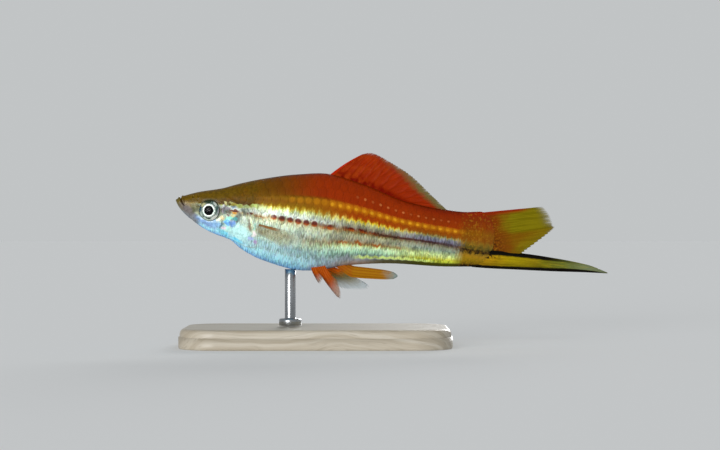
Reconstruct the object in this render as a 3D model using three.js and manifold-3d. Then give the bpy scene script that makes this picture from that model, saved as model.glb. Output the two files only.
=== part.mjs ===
// A male swordtail as a life-size still model, nose a little up, on a flat base with one rod.
// Millimetres, +Z up. The fish faces -X, and its left flank faces -Y.
// The fish is shaped in its own frame first: "along" runs from the tip of the snout to the tail,
// "out" is sideways, and "up" is the height over the snout's tip. One group then pitches it.

import * as THREE from "three";
import { mergeVertices } from "three/addons/utils/BufferGeometryUtils.js";
import Module from "manifold-3d";

// Driving dimensions
const nosePitch = THREE.MathUtils.degToRad(8);
const touchGap = 0.3;
const bodyLength = 70;
const snoutRound = 1.2;
const tailSweep = 2.4;
const sweepStart = 30;

// Body outlines, each a few [along, value] points that a smooth curve joins
const backUp = curveThrough([
  [0, 0.45], [2, 1.45], [5.2, 2.75], [9.5, 4.05], [14, 5.95], [19, 7.75], [27, 9.95], [34, 11.05],
  [42.5, 9.75], [53, 7.15], [60, 6.65], [65, 6.65], [70, 7.35],
]);
const bellyUp = curveThrough([
  [0, -0.55], [2.4, -2.75], [5.5, -4.65], [9, -6.25], [13.6, -7.25], [16.2, -8.85], [21, -10.8],
  [30, -12.1], [34, -11.6], [41, -9.45], [52, -7.5], [62, -6.75], [70, -5.7],
]);
const halfWidth = curveThrough([
  [0, 1.75], [2.5, 2.4], [8, 3.55], [17, 5.15], [25, 5.75], [38, 4.7], [55, 2.9], [64, 1.95], [70, 1.1],
]);
const widestUp = curveThrough([
  [0, 0.1], [8, -1.1], [17, -1.2], [27, -2], [38, -1], [50, 0], [70, 0.4],
]);
const backRoundness = curveThrough([
  [0, 2.2], [6, 2.8], [14, 2.4], [27, 2.05], [70, 2.1],
]);
const bellyRoundness = curveThrough([
  [0, 2], [8, 2.1], [20, 2.2], [36, 2], [70, 2.1],
]);

// Mouth, nostrils and eyes
const mouthTop = [0.85, 1.45];
const mouthCorner = [2.3, -0.9];
const jawRear = [4.6, -5.6];
const lipHeight = 0.36;
const lipOffset = 0.42;
const lipBreadth = 0.27;
const snoutHeart = new THREE.Vector3(4, 0, -0.8);
const nostrils = [[4.1, 1.35], [5.3, 1.65]];
const nostrilRadius = 0.32;
const eyeAt = [8.3, -1.25];
const eyeRadius = 2.42;
const eyeDepth = 1.35;
const eyeOut = 3;
const eyeTurn = THREE.MathUtils.degToRad(11);

// Gill covers
const coverThickness = 1.1;
const coverProud = 0.3;
const coverRearEdge = [
  [16.45, 0.75], [18.15, -1.2], [19.05, -2.8], [20.05, -5.3], [20.3, -7.15], [19.55, -8.2],
];
const coverLowerEdge = [[16.8, -7.95], [14.25, -6.85]];
const coverFrontEdge = [[12.9, -6.6], [13.2, -5], [12.4, -3.3], [11.55, -1.5], [11.65, 0.3], [12.85, 0.85]];

// Fins: how many rays each shows, and their thicknesses
const membraneHalf = 0.26;
const marginHalf = 0.15;
const rayRidge = 0.13;
const rayShare = 0.22;
const scallop = 0.25;
const dorsalFrom = 34;
const dorsalTo = 54.5;
const dorsalMargin = [[41, 16.55], [43.4, 17.15], [47, 15.9], [52.8, 13.2], [58.1, 9.4], [61.9, 7.1]];
const caudalMargin = [[79.9, -0.35], [86.9, 5.3], [86.9, 6.4], [86.4, 7.6], [85.5, 9], [84, 10.4]];
const swordUpper = curveThrough([[70, -1.65], [76, -1.15], [83, -0.95], [90, -1.1], [96, -1.5], [101, -2.65]]);
const swordLower = curveThrough([[70, -5.7], [79.5, -4.75], [88, -4], [96, -3.25], [101, -2.85]]);
const swordTip = 101;
const pectoralRoot = [20.45, -3.8];
const pelvicRoot = [33.6, -11.2];
const gonopodiumUpper = curveThrough([[37, -9.3], [40, -9.3], [49, -9.15], [51.8, -9.35], [53, -10]]);
const gonopodiumLower = curveThrough([[37, -11.6], [42, -11.9], [49, -11.45], [52, -11], [53, -10.3]]);
const gonopodiumTip = 53;

// Stand
const baseSize = [62, 34, 4.5];
const baseCorner = 9;
const baseBevel = 0.7;
const rodRadius = 1.25;
const collarRadius = 2.6;
const collarHeight = 1.6;
const rodAlong = 28.3;
const baseClearance = 6.5;
const baseBehindRod = 6;

const wasm = await Module();
wasm.setup();

// A smooth curve through a few points that never swings past them
function curveThrough(points) {
  const slopes = points.slice(1).map((p, i) => (p[1] - points[i][1]) / (p[0] - points[i][0]));
  const tangents = points.map((p, i) => {
    if (i === 0) return slopes[0];
    if (i === points.length - 1) return slopes[i - 1];
    if (slopes[i - 1] * slopes[i] <= 0) return 0;
    return (2 * slopes[i - 1] * slopes[i]) / (slopes[i - 1] + slopes[i]);
  });
  return (place) => {
    let i = 0;
    while (i < points.length - 2 && place > points[i + 1][0]) i += 1;
    const run = points[i + 1][0] - points[i][0];
    const t = THREE.MathUtils.clamp((place - points[i][0]) / run, 0, 1);
    const h = 1 - t;
    return (
      points[i][1] * h * h * (1 + 2 * t) + tangents[i] * run * t * h * h +
      points[i + 1][1] * t * t * (3 - 2 * t) - tangents[i + 1] * run * t * t * h
    );
  };
}

// A rounded path through side-view points, sampled evenly
function roundedPath(points, samples) {
  const curve = new THREE.SplineCurve(points.map((p) => new THREE.Vector2(...p)));
  return curve.getPoints(samples).map((p) => [p.x, p.y]);
}

// The body's measures at one place, with the blunt end of the snout
function section(along, grow = 0) {
  const front = Math.min(along / snoutRound, 1);
  const blunt = Math.sqrt(1 - (1 - front) ** 2);
  const middle = widestUp(along);
  return {
    middle,
    half: halfWidth(along) * blunt + grow,
    rise: (backUp(along) - middle) * blunt + grow,
    drop: (middle - bellyUp(along)) * blunt + grow,
    upperRound: backRoundness(along),
    lowerRound: bellyRoundness(along),
  };
}

// How far the flank stands out at a place and height
function flankOut(along, up) {
  const s = section(along);
  const above = up > s.middle;
  const share = Math.min(Math.abs(up - s.middle) / (above ? s.rise : s.drop), 1);
  const round = above ? s.upperRound : s.lowerRound;
  return s.half * (1 - share ** round) ** (1 / round);
}

// The swelling of both lips on either side of the line of the mouth
function lipSwell(along, up) {
  const run = [mouthCorner[0] - mouthTop[0], mouthCorner[1] - mouthTop[1]];
  const length = Math.hypot(...run);
  const from = [along - mouthTop[0], up - mouthTop[1]];
  const across = Math.abs(run[0] * from[1] - run[1] * from[0]) / length;
  const down = (run[0] * from[0] + run[1] * from[1]) / length;
  const fade = 1 - THREE.MathUtils.smoothstep(down, length - 0.5, length + 0.4);
  return lipHeight * fade * Math.exp(-(((across - lipOffset) / lipBreadth) ** 2));
}

// One point of the body's surface at an angle round its section
function bodyPoint(along, angle, grow) {
  const s = section(along, grow);
  const round = Math.sin(angle) >= 0 ? s.upperRound : s.lowerRound;
  const reach = Math.sin(angle) >= 0 ? s.rise : s.drop;
  const share = (value) => Math.sign(value) * Math.abs(value) ** (2 / round);
  const point = new THREE.Vector3(
    along,
    s.half * share(Math.cos(angle)),
    s.middle + reach * share(Math.sin(angle)),
  );
  const swell = lipSwell(along, point.z);
  return point.addScaledVector(point.clone().sub(snoutHeart).normalize(), swell);
}

// A closed solid skinned over rings of points, with a point at each end
function loft(rings, firstTip, lastTip) {
  const count = rings[0].length;
  const first = rings.length * count;
  const index = [];
  for (let j = 0; j < count; j += 1) {
    const k = (j + 1) % count;
    index.push(first, k, j);
    for (let i = 0; i < rings.length - 1; i += 1) {
      const a = i * count;
      const b = a + count;
      index.push(a + j, a + k, b + k, a + j, b + k, b + j);
    }
    index.push(first + 1, first - count + j, first - count + k);
  }
  return outward([...rings.flat(), firstTip, lastTip], index);
}

// An indexed geometry whose faces point out
function outward(points, index) {
  let volume = 0;
  const normal = new THREE.Vector3();
  for (let i = 0; i < index.length; i += 3) {
    normal.crossVectors(points[index[i + 1]], points[index[i + 2]]);
    volume += points[index[i]].dot(normal);
  }
  const geometry = new THREE.BufferGeometry().setFromPoints(points);
  geometry.setIndex(volume > 0 ? index : index.slice().reverse());
  return geometry;
}

// The whole body, from the snout to the end of the tail
function bodyShape(grow = 0) {
  const places = [];
  for (let along = 0.08; along < bodyLength - 1; along += Math.min(0.2 + along / 6, 2.4)) {
    places.push(along);
  }
  places.push(bodyLength);
  const around = 40;
  const rings = places.map((along) =>
    Array.from({ length: around }, (_, j) => bodyPoint(along, (2 * Math.PI * (j + 0.5)) / around, grow)),
  );
  const snout = new THREE.Vector3(0, 0, widestUp(0));
  const tail = new THREE.Vector3(bodyLength, 0, widestUp(bodyLength));
  return solidOf(loft(rings, snout, tail));
}

function solidOf(geometry) {
  const bare = geometry.clone();
  bare.deleteAttribute("normal");
  bare.deleteAttribute("uv");
  const merged = mergeVertices(bare, 1e-4);
  return new wasm.Manifold(
    new wasm.Mesh({
      numProp: 3,
      vertProperties: new Float32Array(merged.attributes.position.array),
      triVerts: new Uint32Array(merged.index.array),
    }),
  );
}

function geometryOf(solid) {
  const mesh = solid.getMesh();
  const geometry = new THREE.BufferGeometry();
  geometry.setAttribute("position", new THREE.BufferAttribute(mesh.vertProperties, 3));
  geometry.setIndex(new THREE.BufferAttribute(mesh.triVerts, 1));
  return geometry;
}

// The closed surfaces of a solid, the largest first
function piecesOf(solid) {
  return solid.decompose().sort((a, b) => b.volume() - a.volume());
}

// A side-view outline run right through the fish, or through one flank only
function prism(outline, side = 0) {
  const reach = 14;
  const inner = 0.4;
  const shape = new THREE.Shape(outline.map((p) => new THREE.Vector2(...p)));
  const depth = side === 0 ? 2 * reach : reach;
  const geometry = new THREE.ExtrudeGeometry(shape, { depth, bevelEnabled: false, steps: 1 });
  geometry.rotateX(Math.PI / 2);
  const starts = { "-1": -inner, 0: reach, 1: reach + inner };
  geometry.translate(0, starts[side], 0);
  return solidOf(geometry);
}

// The points of a path moved sideways by a distance
function besidePath(path, distance, closed = false) {
  const last = path.length - 1;
  return path.map((point, i) => {
    const before = path[i > 0 ? i - 1 : closed ? last : 0];
    const after = path[i < last ? i + 1 : closed ? 0 : last];
    const run = [after[0] - before[0], after[1] - before[1]];
    const length = Math.hypot(...run);
    return [point[0] + (run[1] * distance) / length, point[1] - (run[0] * distance) / length];
  });
}

// A thin cut that follows a side-view path
function thinCut(path) {
  const half = touchGap / 2;
  return prism([...besidePath(path, half), ...besidePath(path, -half).reverse()]);
}

// The head's rear border: down from the nape, round the gill cover and forward to the throat
function headBorder() {
  const nape = [[18.85, 13], [17.45, 6]];
  const throat = [[16.8, -8.2], [14.25, -7.1], [13.55, -9]];
  const rear = besidePath(coverRearEdge, -touchGap / 2);
  return roundedPath([...nape, ...rear, ...throat], 44);
}

// An eyeball pressed flat towards the midline, facing as the cheek does there
function eyeball(side, grow = 0) {
  const geometry = new THREE.SphereGeometry(eyeRadius + grow, 22, 12);
  geometry.rotateX(Math.PI / 2);
  geometry.scale(1, (eyeDepth + grow) / (eyeRadius + grow), 1);
  geometry.rotateZ(side * eyeTurn);
  geometry.translate(eyeAt[0], side * eyeOut, eyeAt[1]);
  return solidOf(geometry);
}

function nostril(side, along, up) {
  const geometry = new THREE.SphereGeometry(nostrilRadius, 10, 6);
  geometry.translate(along, side * (flankOut(along, up) - 0.05), up);
  return solidOf(geometry);
}

function coverOutline() {
  return roundedPath([...coverRearEdge, ...coverLowerEdge, ...coverFrontEdge, coverRearEdge[0]], 52).slice(1);
}

// The gill cover on one side, a plate that follows the flank and stands a little proud of it
function gillCover(side) {
  const plate = bodyShape(coverProud).subtract(bodyShape(coverProud - coverThickness));
  return piecesOf(plate.intersect(prism(coverOutline(), side)))[0];
}

// The recess that the gill cover lies in
function gillRecess(side) {
  const wider = besidePath(coverOutline(), -touchGap * 0.9, true);
  return prism(wider, side).subtract(bodyShape(coverProud - coverThickness - touchGap));
}

function bodyPieces() {
  let body = bodyShape();
  for (const side of [-1, 1]) {
    body = body.subtract(gillRecess(side));
    body = body.subtract(eyeball(side, touchGap));
    for (const [along, up] of nostrils) body = body.subtract(nostril(side, along, up));
  }
  const mouth = roundedPath([[0.2, 2.5], mouthTop, mouthCorner, [3.2, -2.6], jawRear, [5.2, -7]], 24);
  const tailBorder = roundedPath([[45.5, 13], [44, 1], [45.5, -11]], 12);
  body = body.subtract(thinCut(mouth)).subtract(thinCut(headBorder())).subtract(thinCut(tailBorder));
  const byPlace = piecesOf(body).slice(0, 4);
  byPlace.sort((a, b) => a.boundingBox().min[0] - b.boundingBox().min[0]);
  const [lowerJaw, head, trunk, tail] = byPlace;
  return { lowerJaw, head, trunk, tail };
}

// A fin as one sheet of even rays: root and margin give the two ends of a ray at v from 0 to 1,
// out gives the sheet's place sideways, and rootHalf its half thickness where it grows
function finSheet({ root, margin, out, rootHalf, rays, rows, ridge = rayRidge, rootShare = 0.3, bend = 0 }) {
  const columns = [0];
  for (let i = 0; i < rays; i += 1) {
    columns.push((i + 0.5 - rayShare) / rays, (i + 0.5) / rays, (i + 0.5 + rayShare) / rays);
  }
  columns.push(1);
  const faces = [[], []];
  for (let i = 0; i <= rows; i += 1) {
    const u = i / rows;
    columns.forEach((v, j) => {
      const onRay = j % 3 === 2 ? 1 : 0;
      const [a, b] = [root(v), margin(v)];
      const run = [b[0] - a[0], b[1] - a[1]];
      const length = Math.hypot(...run);
      const reach = u * (1 - (1 - onRay) * (scallop / length));
      const sag = bend * length * Math.sin(Math.PI * u);
      const along = a[0] + run[0] * reach - (run[1] / length) * sag;
      const up = a[1] + run[1] * reach + (run[0] / length) * sag;
      const thin = THREE.MathUtils.lerp(membraneHalf, marginHalf, u ** 3) + onRay * ridge * (1 - 0.6 * u);
      const half = THREE.MathUtils.lerp(rootHalf(v), thin, THREE.MathUtils.smoothstep(u, 0, rootShare));
      const middle = out(u, v, along, up);
      faces[0].push(new THREE.Vector3(along, middle - half, up));
      faces[1].push(new THREE.Vector3(along, middle + half, up));
    });
  }
  return sheetBetween(faces, rows, columns.length);
}

// A closed sheet between two faces of points that are split into triangles alike
function sheetBetween(faces, rows, across) {
  const other = faces[0].length;
  const index = [];
  for (let i = 0; i < rows; i += 1) {
    for (let j = 0; j < across - 1; j += 1) {
      const a = i * across + j;
      const [b, c, d] = [a + 1, a + across, a + across + 1];
      index.push(a, b, d, a, d, c);
      index.push(other + a, other + d, other + b, other + a, other + c, other + d);
    }
  }
  const rim = [];
  for (let j = 0; j < across - 1; j += 1) rim.push(j);
  for (let i = 0; i < rows; i += 1) rim.push(i * across + across - 1);
  for (let j = across - 1; j > 0; j -= 1) rim.push(rows * across + j);
  for (let i = rows; i > 0; i -= 1) rim.push(i * across);
  rim.forEach((a, i) => {
    const b = rim[(i + 1) % rim.length];
    index.push(a, other + a, other + b, a, other + b, b);
  });
  return solidOf(outward(faces.flat(), index));
}

// A smooth curve of side-view points, read at v from 0 to 1
function edgeAlong(points) {
  const curve = new THREE.SplineCurve(points.map((p) => new THREE.Vector2(...p)));
  return (v) => curve.getPoint(v).toArray();
}

// What a fin grows from, larger by the gap that touching pieces keep
const bodyClearance = bodyShape(touchGap);

function seated(fin) {
  return piecesOf(fin.subtract(bodyClearance))[0];
}

function dorsalFin() {
  const sunk = 0.6;
  const ripple = 0.5;
  return seated(
    finSheet({
      root: (v) => {
        const along = THREE.MathUtils.lerp(dorsalFrom, dorsalTo, v);
        return [along, backUp(along) - sunk];
      },
      margin: edgeAlong(dorsalMargin),
      out: (u, v) => ripple * u * u * Math.sin(5 * v + 0.6),
      rootHalf: () => 0.55,
      rays: 12,
      rows: 7,
      bend: 0.03,
    }),
  );
}

// Half the thickness of the tail's end, which the fin and the sword take up
function tailEndHalf(up) {
  return Math.max(flankOut(bodyLength, up), 0.3);
}

function caudalFin() {
  const start = bodyLength + touchGap;
  const low = swordUpper(start) + touchGap;
  const high = backUp(bodyLength) - 0.1;
  const rootUp = (v) => THREE.MathUtils.lerp(low, high, v);
  const fan = edgeAlong(caudalMargin);
  const lowTip = caudalMargin[0];
  const solid = finSheet({
    root: (v) => [start, rootUp(v)],
    margin: fan,
    out: (u, v) => 0.45 * u * u * Math.sin(4 * v - 1),
    rootHalf: (v) => tailEndHalf(rootUp(v)),
    rays: 13,
    rows: 8,
    rootShare: 0.4,
  });
  const under = [[start - 2, low - 8]];
  for (let along = start - 2; along <= lowTip[0] + 3; along += 1) {
    under.push([along, swordUpper(along) + touchGap]);
  }
  under.push([lowTip[0] + 3, low - 8]);
  return piecesOf(solid.subtract(prism(under)))[0];
}

function sword() {
  const start = bodyLength + touchGap;
  const solid = finSheet({
    root: (v) => [start, THREE.MathUtils.lerp(swordLower(start), swordUpper(start), v)],
    margin: (v) => [swordTip, THREE.MathUtils.lerp(swordLower(swordTip), swordUpper(swordTip), v)],
    out: () => 0,
    rootHalf: (v) => tailEndHalf(THREE.MathUtils.lerp(swordLower(start), swordUpper(start), v)),
    rays: 5,
    rows: 14,
    rootShare: 0.25,
  });
  return swordCurved(solid, start);
}

// The straight sword sheet moved onto its two curved edges
function swordCurved(solid, start) {
  const geometry = geometryOf(solid);
  const position = geometry.attributes.position;
  for (let i = 0; i < position.count; i += 1) {
    const along = position.getX(i);
    const t = (along - start) / (swordTip - start);
    const low = THREE.MathUtils.lerp(swordLower(start), swordLower(swordTip), t);
    const high = THREE.MathUtils.lerp(swordUpper(start), swordUpper(swordTip), t);
    const v = (position.getZ(i) - low) / (high - low);
    position.setZ(i, THREE.MathUtils.lerp(swordLower(along), swordUpper(along), v));
  }
  return solidOf(geometry);
}

function pectoralFin(side) {
  const length = 10.4;
  const rootOut = flankOut(...pectoralRoot) - 0.5;
  const margin = edgeAlong([[25.8, -7.5], [28.4, -7.2], [30, -6.2], [30.4, -4.9], [29.6, -3.6]]);
  return seated(
    finSheet({
      root: (v) => [pectoralRoot[0], pectoralRoot[1] + THREE.MathUtils.lerp(-1.1, 1.1, v)],
      margin,
      out: (u, v) => side * (rootOut + length * (0.34 * u - 0.08 * u * u) - 0.6 * (1 - v) * u),
      rootHalf: () => 0.5,
      rays: 9,
      rows: 5,
      rootShare: 0.4,
    }),
  );
}

function pelvicFin(side) {
  const near = side < 0;
  const margin = near
    ? edgeAlong([[35.8, -14.6], [37.9, -16], [40.2, -17.3], [40.6, -16.1], [40.1, -14.4]])
    : edgeAlong([[38, -14.6], [42, -14.9], [46, -14.4], [47, -13.6], [46, -12.9]]);
  const splay = near ? 0.3 : 0.34;
  return seated(
    finSheet({
      root: (v) => [pelvicRoot[0] + 2.2 * v, pelvicRoot[1] + 1.2 * v + 0.4],
      margin,
      out: (u) => side * (1.5 + splay * 6 * u),
      rootHalf: () => 0.5,
      rays: 6,
      rows: 6,
      rootShare: 0.35,
      bend: near ? -0.06 : 0.03,
    }),
  );
}

// The male's rod-like anal fin, laid back under the tail
function gonopodium() {
  const start = 37.2;
  const faces = [[], []];
  const rows = 12;
  const across = [0, 0.12, 0.25, 0.38, 0.5, 0.62, 0.75, 0.88, 1];
  for (let i = 0; i <= rows; i += 1) {
    const u = i / rows;
    const along = THREE.MathUtils.lerp(start, gonopodiumTip, 1 - (1 - u) ** 1.4);
    across.forEach((v, j) => {
      const ridge = j % 2 === 1 && j !== 3 ? 0.14 : 0;
      const body = 0.3 + 0.35 * Math.sqrt(Math.max(Math.sin(Math.PI * v), 0)) * (1 - 0.5 * u);
      const up = THREE.MathUtils.lerp(gonopodiumLower(along), gonopodiumUpper(along), v);
      const lift = 1.9 * (1 - THREE.MathUtils.smoothstep(u, 0, 0.28));
      const half = body + ridge * (1 - u);
      faces[0].push(new THREE.Vector3(along, -half, up + lift));
      faces[1].push(new THREE.Vector3(along, half, up + lift));
    });
  }
  return seated(sheetBetween(faces, rows, across.length));
}

// The display stand, in the model's level frame, with its top under the lowest fin
function standBase(centreAlong) {
  const [long, wide, high] = baseSize;
  const [x, y, r] = [long / 2 - baseBevel, wide / 2 - baseBevel, baseCorner];
  const shape = new THREE.Shape();
  shape.moveTo(x - r, -y);
  shape.absarc(x - r, r - y, r, -Math.PI / 2, 0);
  shape.absarc(x - r, y - r, r, 0, Math.PI / 2);
  shape.absarc(r - x, y - r, r, Math.PI / 2, Math.PI);
  shape.absarc(r - x, r - y, r, Math.PI, 1.5 * Math.PI);
  const geometry = new THREE.ExtrudeGeometry(shape, {
    depth: high - 2 * baseBevel,
    bevelThickness: baseBevel,
    bevelSize: baseBevel,
    bevelSegments: 1,
    curveSegments: 7,
  });
  geometry.translate(centreAlong, 0, baseBevel);
  return geometry;
}

function standRod(at, top, pitched) {
  const foot = baseSize[2] + touchGap;
  const profile = [
    [0, foot], [collarRadius, foot], [collarRadius, foot + collarHeight - 0.5],
    [collarRadius - 0.5, foot + collarHeight], [rodRadius, foot + collarHeight], [rodRadius, top], [0, top],
  ];
  const geometry = new THREE.LatheGeometry(profile.map((p) => new THREE.Vector2(...p)), 20);
  geometry.rotateX(Math.PI / 2);
  geometry.translate(at, 0, 0);
  geometry.applyMatrix4(pitched.clone().invert());
  const cut = geometryOf(piecesOf(solidOf(geometry).subtract(bodyClearance))[0]);
  return cut.applyMatrix4(pitched);
}

// The tail's gentle sweep to the fish's right
function swept(geometry) {
  const position = geometry.attributes.position;
  for (let i = 0; i < position.count; i += 1) {
    const past = Math.max(position.getX(i) - sweepStart, 0) / (swordTip - sweepStart);
    position.setY(i, position.getY(i) + tailSweep * past * past);
  }
  return geometry;
}

const finishes = {
  back: { color: 0x8e4210, roughness: 0.35, metalness: 0.1 },
  flank: { color: 0xc9bf8f, roughness: 0.3, metalness: 0.2 },
  jaw: { color: 0x8c877a, roughness: 0.4, metalness: 0 },
  cover: { color: 0xa9cbd6, roughness: 0.3, metalness: 0.25 },
  eye: { color: 0x20242a, roughness: 0.1, metalness: 0 },
  redFin: { color: 0xa83a12, roughness: 0.45, metalness: 0 },
  swordFin: { color: 0xb98a24, roughness: 0.4, metalness: 0 },
  clearFin: { color: 0xb9b79a, roughness: 0.4, metalness: 0 },
  wood: { color: 0xc3b9a6, roughness: 0.5, metalness: 0 },
  steel: { color: 0xb8bbbe, roughness: 0.3, metalness: 1 },
};

function named(name, geometry, finish) {
  const mesh = new THREE.Mesh(geometry, new THREE.MeshStandardMaterial(finishes[finish]));
  mesh.name = name;
  geometry.computeVertexNormals();
  return mesh;
}

function fishMeshes() {
  const { lowerJaw, head, trunk, tail } = bodyPieces();
  const meshes = [
    ["head", head, "back"],
    ["lower_jaw", lowerJaw, "jaw"],
    ["trunk", trunk, "flank"],
    ["tail_peduncle", tail, "flank"],
    ["dorsal_fin", dorsalFin(), "redFin"],
    ["caudal_fin", caudalFin(), "redFin"],
    ["sword", sword(), "swordFin"],
    ["gonopodium", gonopodium(), "redFin"],
  ];
  for (const [word, side] of [["left", -1], ["right", 1]]) {
    meshes.push(
      [`gill_cover_${word}`, gillCover(side), "cover"],
      [`eye_${word}`, eyeball(side), "eye"],
      [`pectoral_fin_${word}`, pectoralFin(side), "clearFin"],
      [`pelvic_fin_${word}`, pelvicFin(side), "redFin"],
    );
  }
  return meshes.map(([name, solid, finish]) => named(name, swept(geometryOf(solid)), finish));
}

const model = new THREE.Group();
const fish = new THREE.Group();
fish.add(...fishMeshes());
fish.rotation.y = nosePitch;
fish.updateMatrixWorld(true);

// The fish is raised until its lowest fin clears the base, and centred along the model
const bounds = new THREE.Box3().setFromObject(fish, true);
fish.position.z = baseSize[2] + baseClearance - bounds.min.z;
fish.position.x = -(bounds.min.x + bounds.max.x) / 2;
fish.updateMatrixWorld(true);
const rodTop = new THREE.Vector3(rodAlong, 0, bellyUp(rodAlong)).applyMatrix4(fish.matrixWorld);
const base = named("stand_base", standBase(rodTop.x + baseBehindRod), "wood");
const rod = named("stand_rod", standRod(rodTop.x, rodTop.z + 2, fish.matrixWorld), "steel");
model.add(fish, base, rod);

export default model;
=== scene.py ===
# Male swordtail, a life-size still model on a plain display stand.
# The fish is shaped in its own frame in millimetres: along from the snout's tip to the tail, out to the
# side (the left flank is minus) and up over the snout's tip. It is then pitched nose up and set by its eyes.
import math

import bpy
import numpy as np
from mathutils import Matrix, Vector


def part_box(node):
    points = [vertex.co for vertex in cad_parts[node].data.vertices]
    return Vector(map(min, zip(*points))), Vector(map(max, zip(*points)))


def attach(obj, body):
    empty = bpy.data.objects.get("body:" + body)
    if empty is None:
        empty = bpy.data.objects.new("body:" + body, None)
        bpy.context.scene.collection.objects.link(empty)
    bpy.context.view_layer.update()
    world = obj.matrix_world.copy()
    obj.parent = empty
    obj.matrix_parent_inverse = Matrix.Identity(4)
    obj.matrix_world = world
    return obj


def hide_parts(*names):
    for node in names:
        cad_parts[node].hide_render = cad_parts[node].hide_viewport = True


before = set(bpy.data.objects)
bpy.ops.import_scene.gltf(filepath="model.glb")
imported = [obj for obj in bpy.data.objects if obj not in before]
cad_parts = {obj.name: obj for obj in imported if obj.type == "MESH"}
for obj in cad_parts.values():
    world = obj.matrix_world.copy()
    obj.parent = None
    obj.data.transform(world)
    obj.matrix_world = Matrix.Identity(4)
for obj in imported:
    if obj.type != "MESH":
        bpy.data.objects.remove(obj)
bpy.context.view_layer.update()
mm = 0.001

fish = {
    "pitch": math.radians(8),
    "bodyLength": 70.0,
    "tailWedge": 4.2,
    "snoutRound": 1.2,
    "tailSweep": 2.4,
    "sweepStart": 30.0,
    "swordTip": 101.0,
    "eyeAt": (8.3, -1.25),
    "eyeOut": 3.0,
    "eyeTurn": math.radians(11),
    "lateralLine": [(15, -0.6), (23, -0.8), (34, -1.15), (43, -0.9), (56, -1.1), (70, -1.7)],
}


def curveThrough(points):  # a smooth curve through a few points that never swings past them
    x, y = np.array(points, float).T
    slope = np.diff(y) / np.diff(x)
    product = slope[:-1] * slope[1:]
    total = slope[:-1] + slope[1:]
    inner = np.where(product > 0, 2 * product / np.where(product > 0, total, 1), 0)
    tangent = np.concatenate([slope[:1], inner, slope[-1:]])

    def at(place):
        place = np.asarray(place, float)
        i = np.clip(np.searchsorted(x, place, side="right") - 1, 0, len(slope) - 1)
        run = x[i + 1] - x[i]
        t = np.clip((place - x[i]) / run, 0, 1)
        h = 1 - t
        start = y[i] * h * h * (1 + 2 * t) + tangent[i] * run * t * h * h
        return start + y[i + 1] * t * t * (3 - 2 * t) - tangent[i + 1] * run * t * t * h

    return at


backUp = curveThrough([
    (0, 0.45), (2, 1.45), (5.2, 2.75), (9.5, 4.05), (14, 5.95), (19, 7.75), (27, 9.95), (34, 11.05),
    (42.5, 9.75), (53, 7.15), (60, 6.65), (65, 6.65), (70, 7.35),
])
bellyUp = curveThrough([
    (0, -0.55), (2.4, -2.75), (5.5, -4.65), (9, -6.25), (13.6, -7.25), (16.2, -8.85), (21, -10.8),
    (30, -12.1), (34, -11.6), (41, -9.45), (52, -7.5), (62, -6.75), (70, -5.7),
])
halfWidth = curveThrough([
    (0, 1.75), (2.5, 2.4), (8, 3.55), (17, 5.15), (25, 5.75), (38, 4.7), (55, 2.9), (64, 1.95), (70, 1.1),
])
widestUp = curveThrough([(0, 0.1), (8, -1.1), (17, -1.2), (27, -2), (38, -1), (50, 0), (70, 0.4)])
backRoundness = curveThrough([(0, 2.2), (6, 2.8), (14, 2.4), (27, 2.05), (70, 2.1)])
bellyRoundness = curveThrough([(0, 2), (8, 2.1), (20, 2.2), (36, 2), (70, 2.1)])
lateralUp = curveThrough(fish["lateralLine"])


def smooth(value, low, high):
    t = np.clip((np.asarray(value, float) - low) / (high - low), 0, 1)
    return t * t * (3 - 2 * t)


def lerp(a, b, t):
    return a + (b - a) * t


def tailShares(along, limit=1.0):  # what is left of the height and the breadth where the body ends as a wedge
    past = np.clip((along - fish["bodyLength"]) / fish["tailWedge"], 0, limit)
    height = np.sqrt(1 - past**2)
    return height, height**2 * 0.75 + 0.25 * height


def bodyRing(along, angle, grow=0.0):  # points of the body's surface in the fish's frame
    front = np.clip(along / fish["snoutRound"], 0, 1)
    blunt = np.sqrt(1 - (1 - front) ** 2)
    height, breadth = tailShares(along)
    middle = widestUp(along)
    half = halfWidth(along) * blunt * breadth + grow
    rise = (backUp(along) - middle) * blunt * height + grow
    drop = (middle - bellyUp(along)) * blunt * height + grow
    above = np.sin(angle) >= 0
    power = 2 / np.where(above, backRoundness(along), bellyRoundness(along))
    out = half * np.sign(np.cos(angle)) * np.abs(np.cos(angle)) ** power
    up = np.where(above, rise, drop) * np.sign(np.sin(angle)) * np.abs(np.sin(angle)) ** power
    return np.stack([along + 0 * angle, out, middle + up], -1)


def flankOut(along, up):  # how far the flank stands out at a place and height
    middle = widestUp(along)
    above = up > middle
    reach = np.where(above, backUp(along) - middle, middle - bellyUp(along))
    power = np.where(above, backRoundness(along), bellyRoundness(along))
    share = np.clip(np.abs(up - middle) / reach, 0, 1)
    return halfWidth(along) * (1 - share**power) ** (1 / power)


eyeLow, eyeHigh = (np.array(c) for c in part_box("eye_left"))
eyeWorld = (eyeLow + eyeHigh) / 2
sinPitch, cosPitch = math.sin(fish["pitch"]), math.cos(fish["pitch"])
eyeAlong, eyeUp = fish["eyeAt"]
snoutWorld = np.array([
    eyeWorld[0] - mm * (eyeAlong * cosPitch + eyeUp * sinPitch),
    0,
    eyeWorld[2] - mm * (-eyeAlong * sinPitch + eyeUp * cosPitch),
])


def toWorld(points):  # from the fish's frame to metres in the model's frame, tail sweep included
    along, out, up = np.moveaxis(np.asarray(points, float), -1, 0)
    past = np.maximum(along - fish["sweepStart"], 0) / (fish["swordTip"] - fish["sweepStart"])
    out = out + fish["tailSweep"] * past**2
    x = along * cosPitch + up * sinPitch
    z = -along * sinPitch + up * cosPitch
    return np.stack([x, out, z], -1) * mm + snoutWorld


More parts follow.
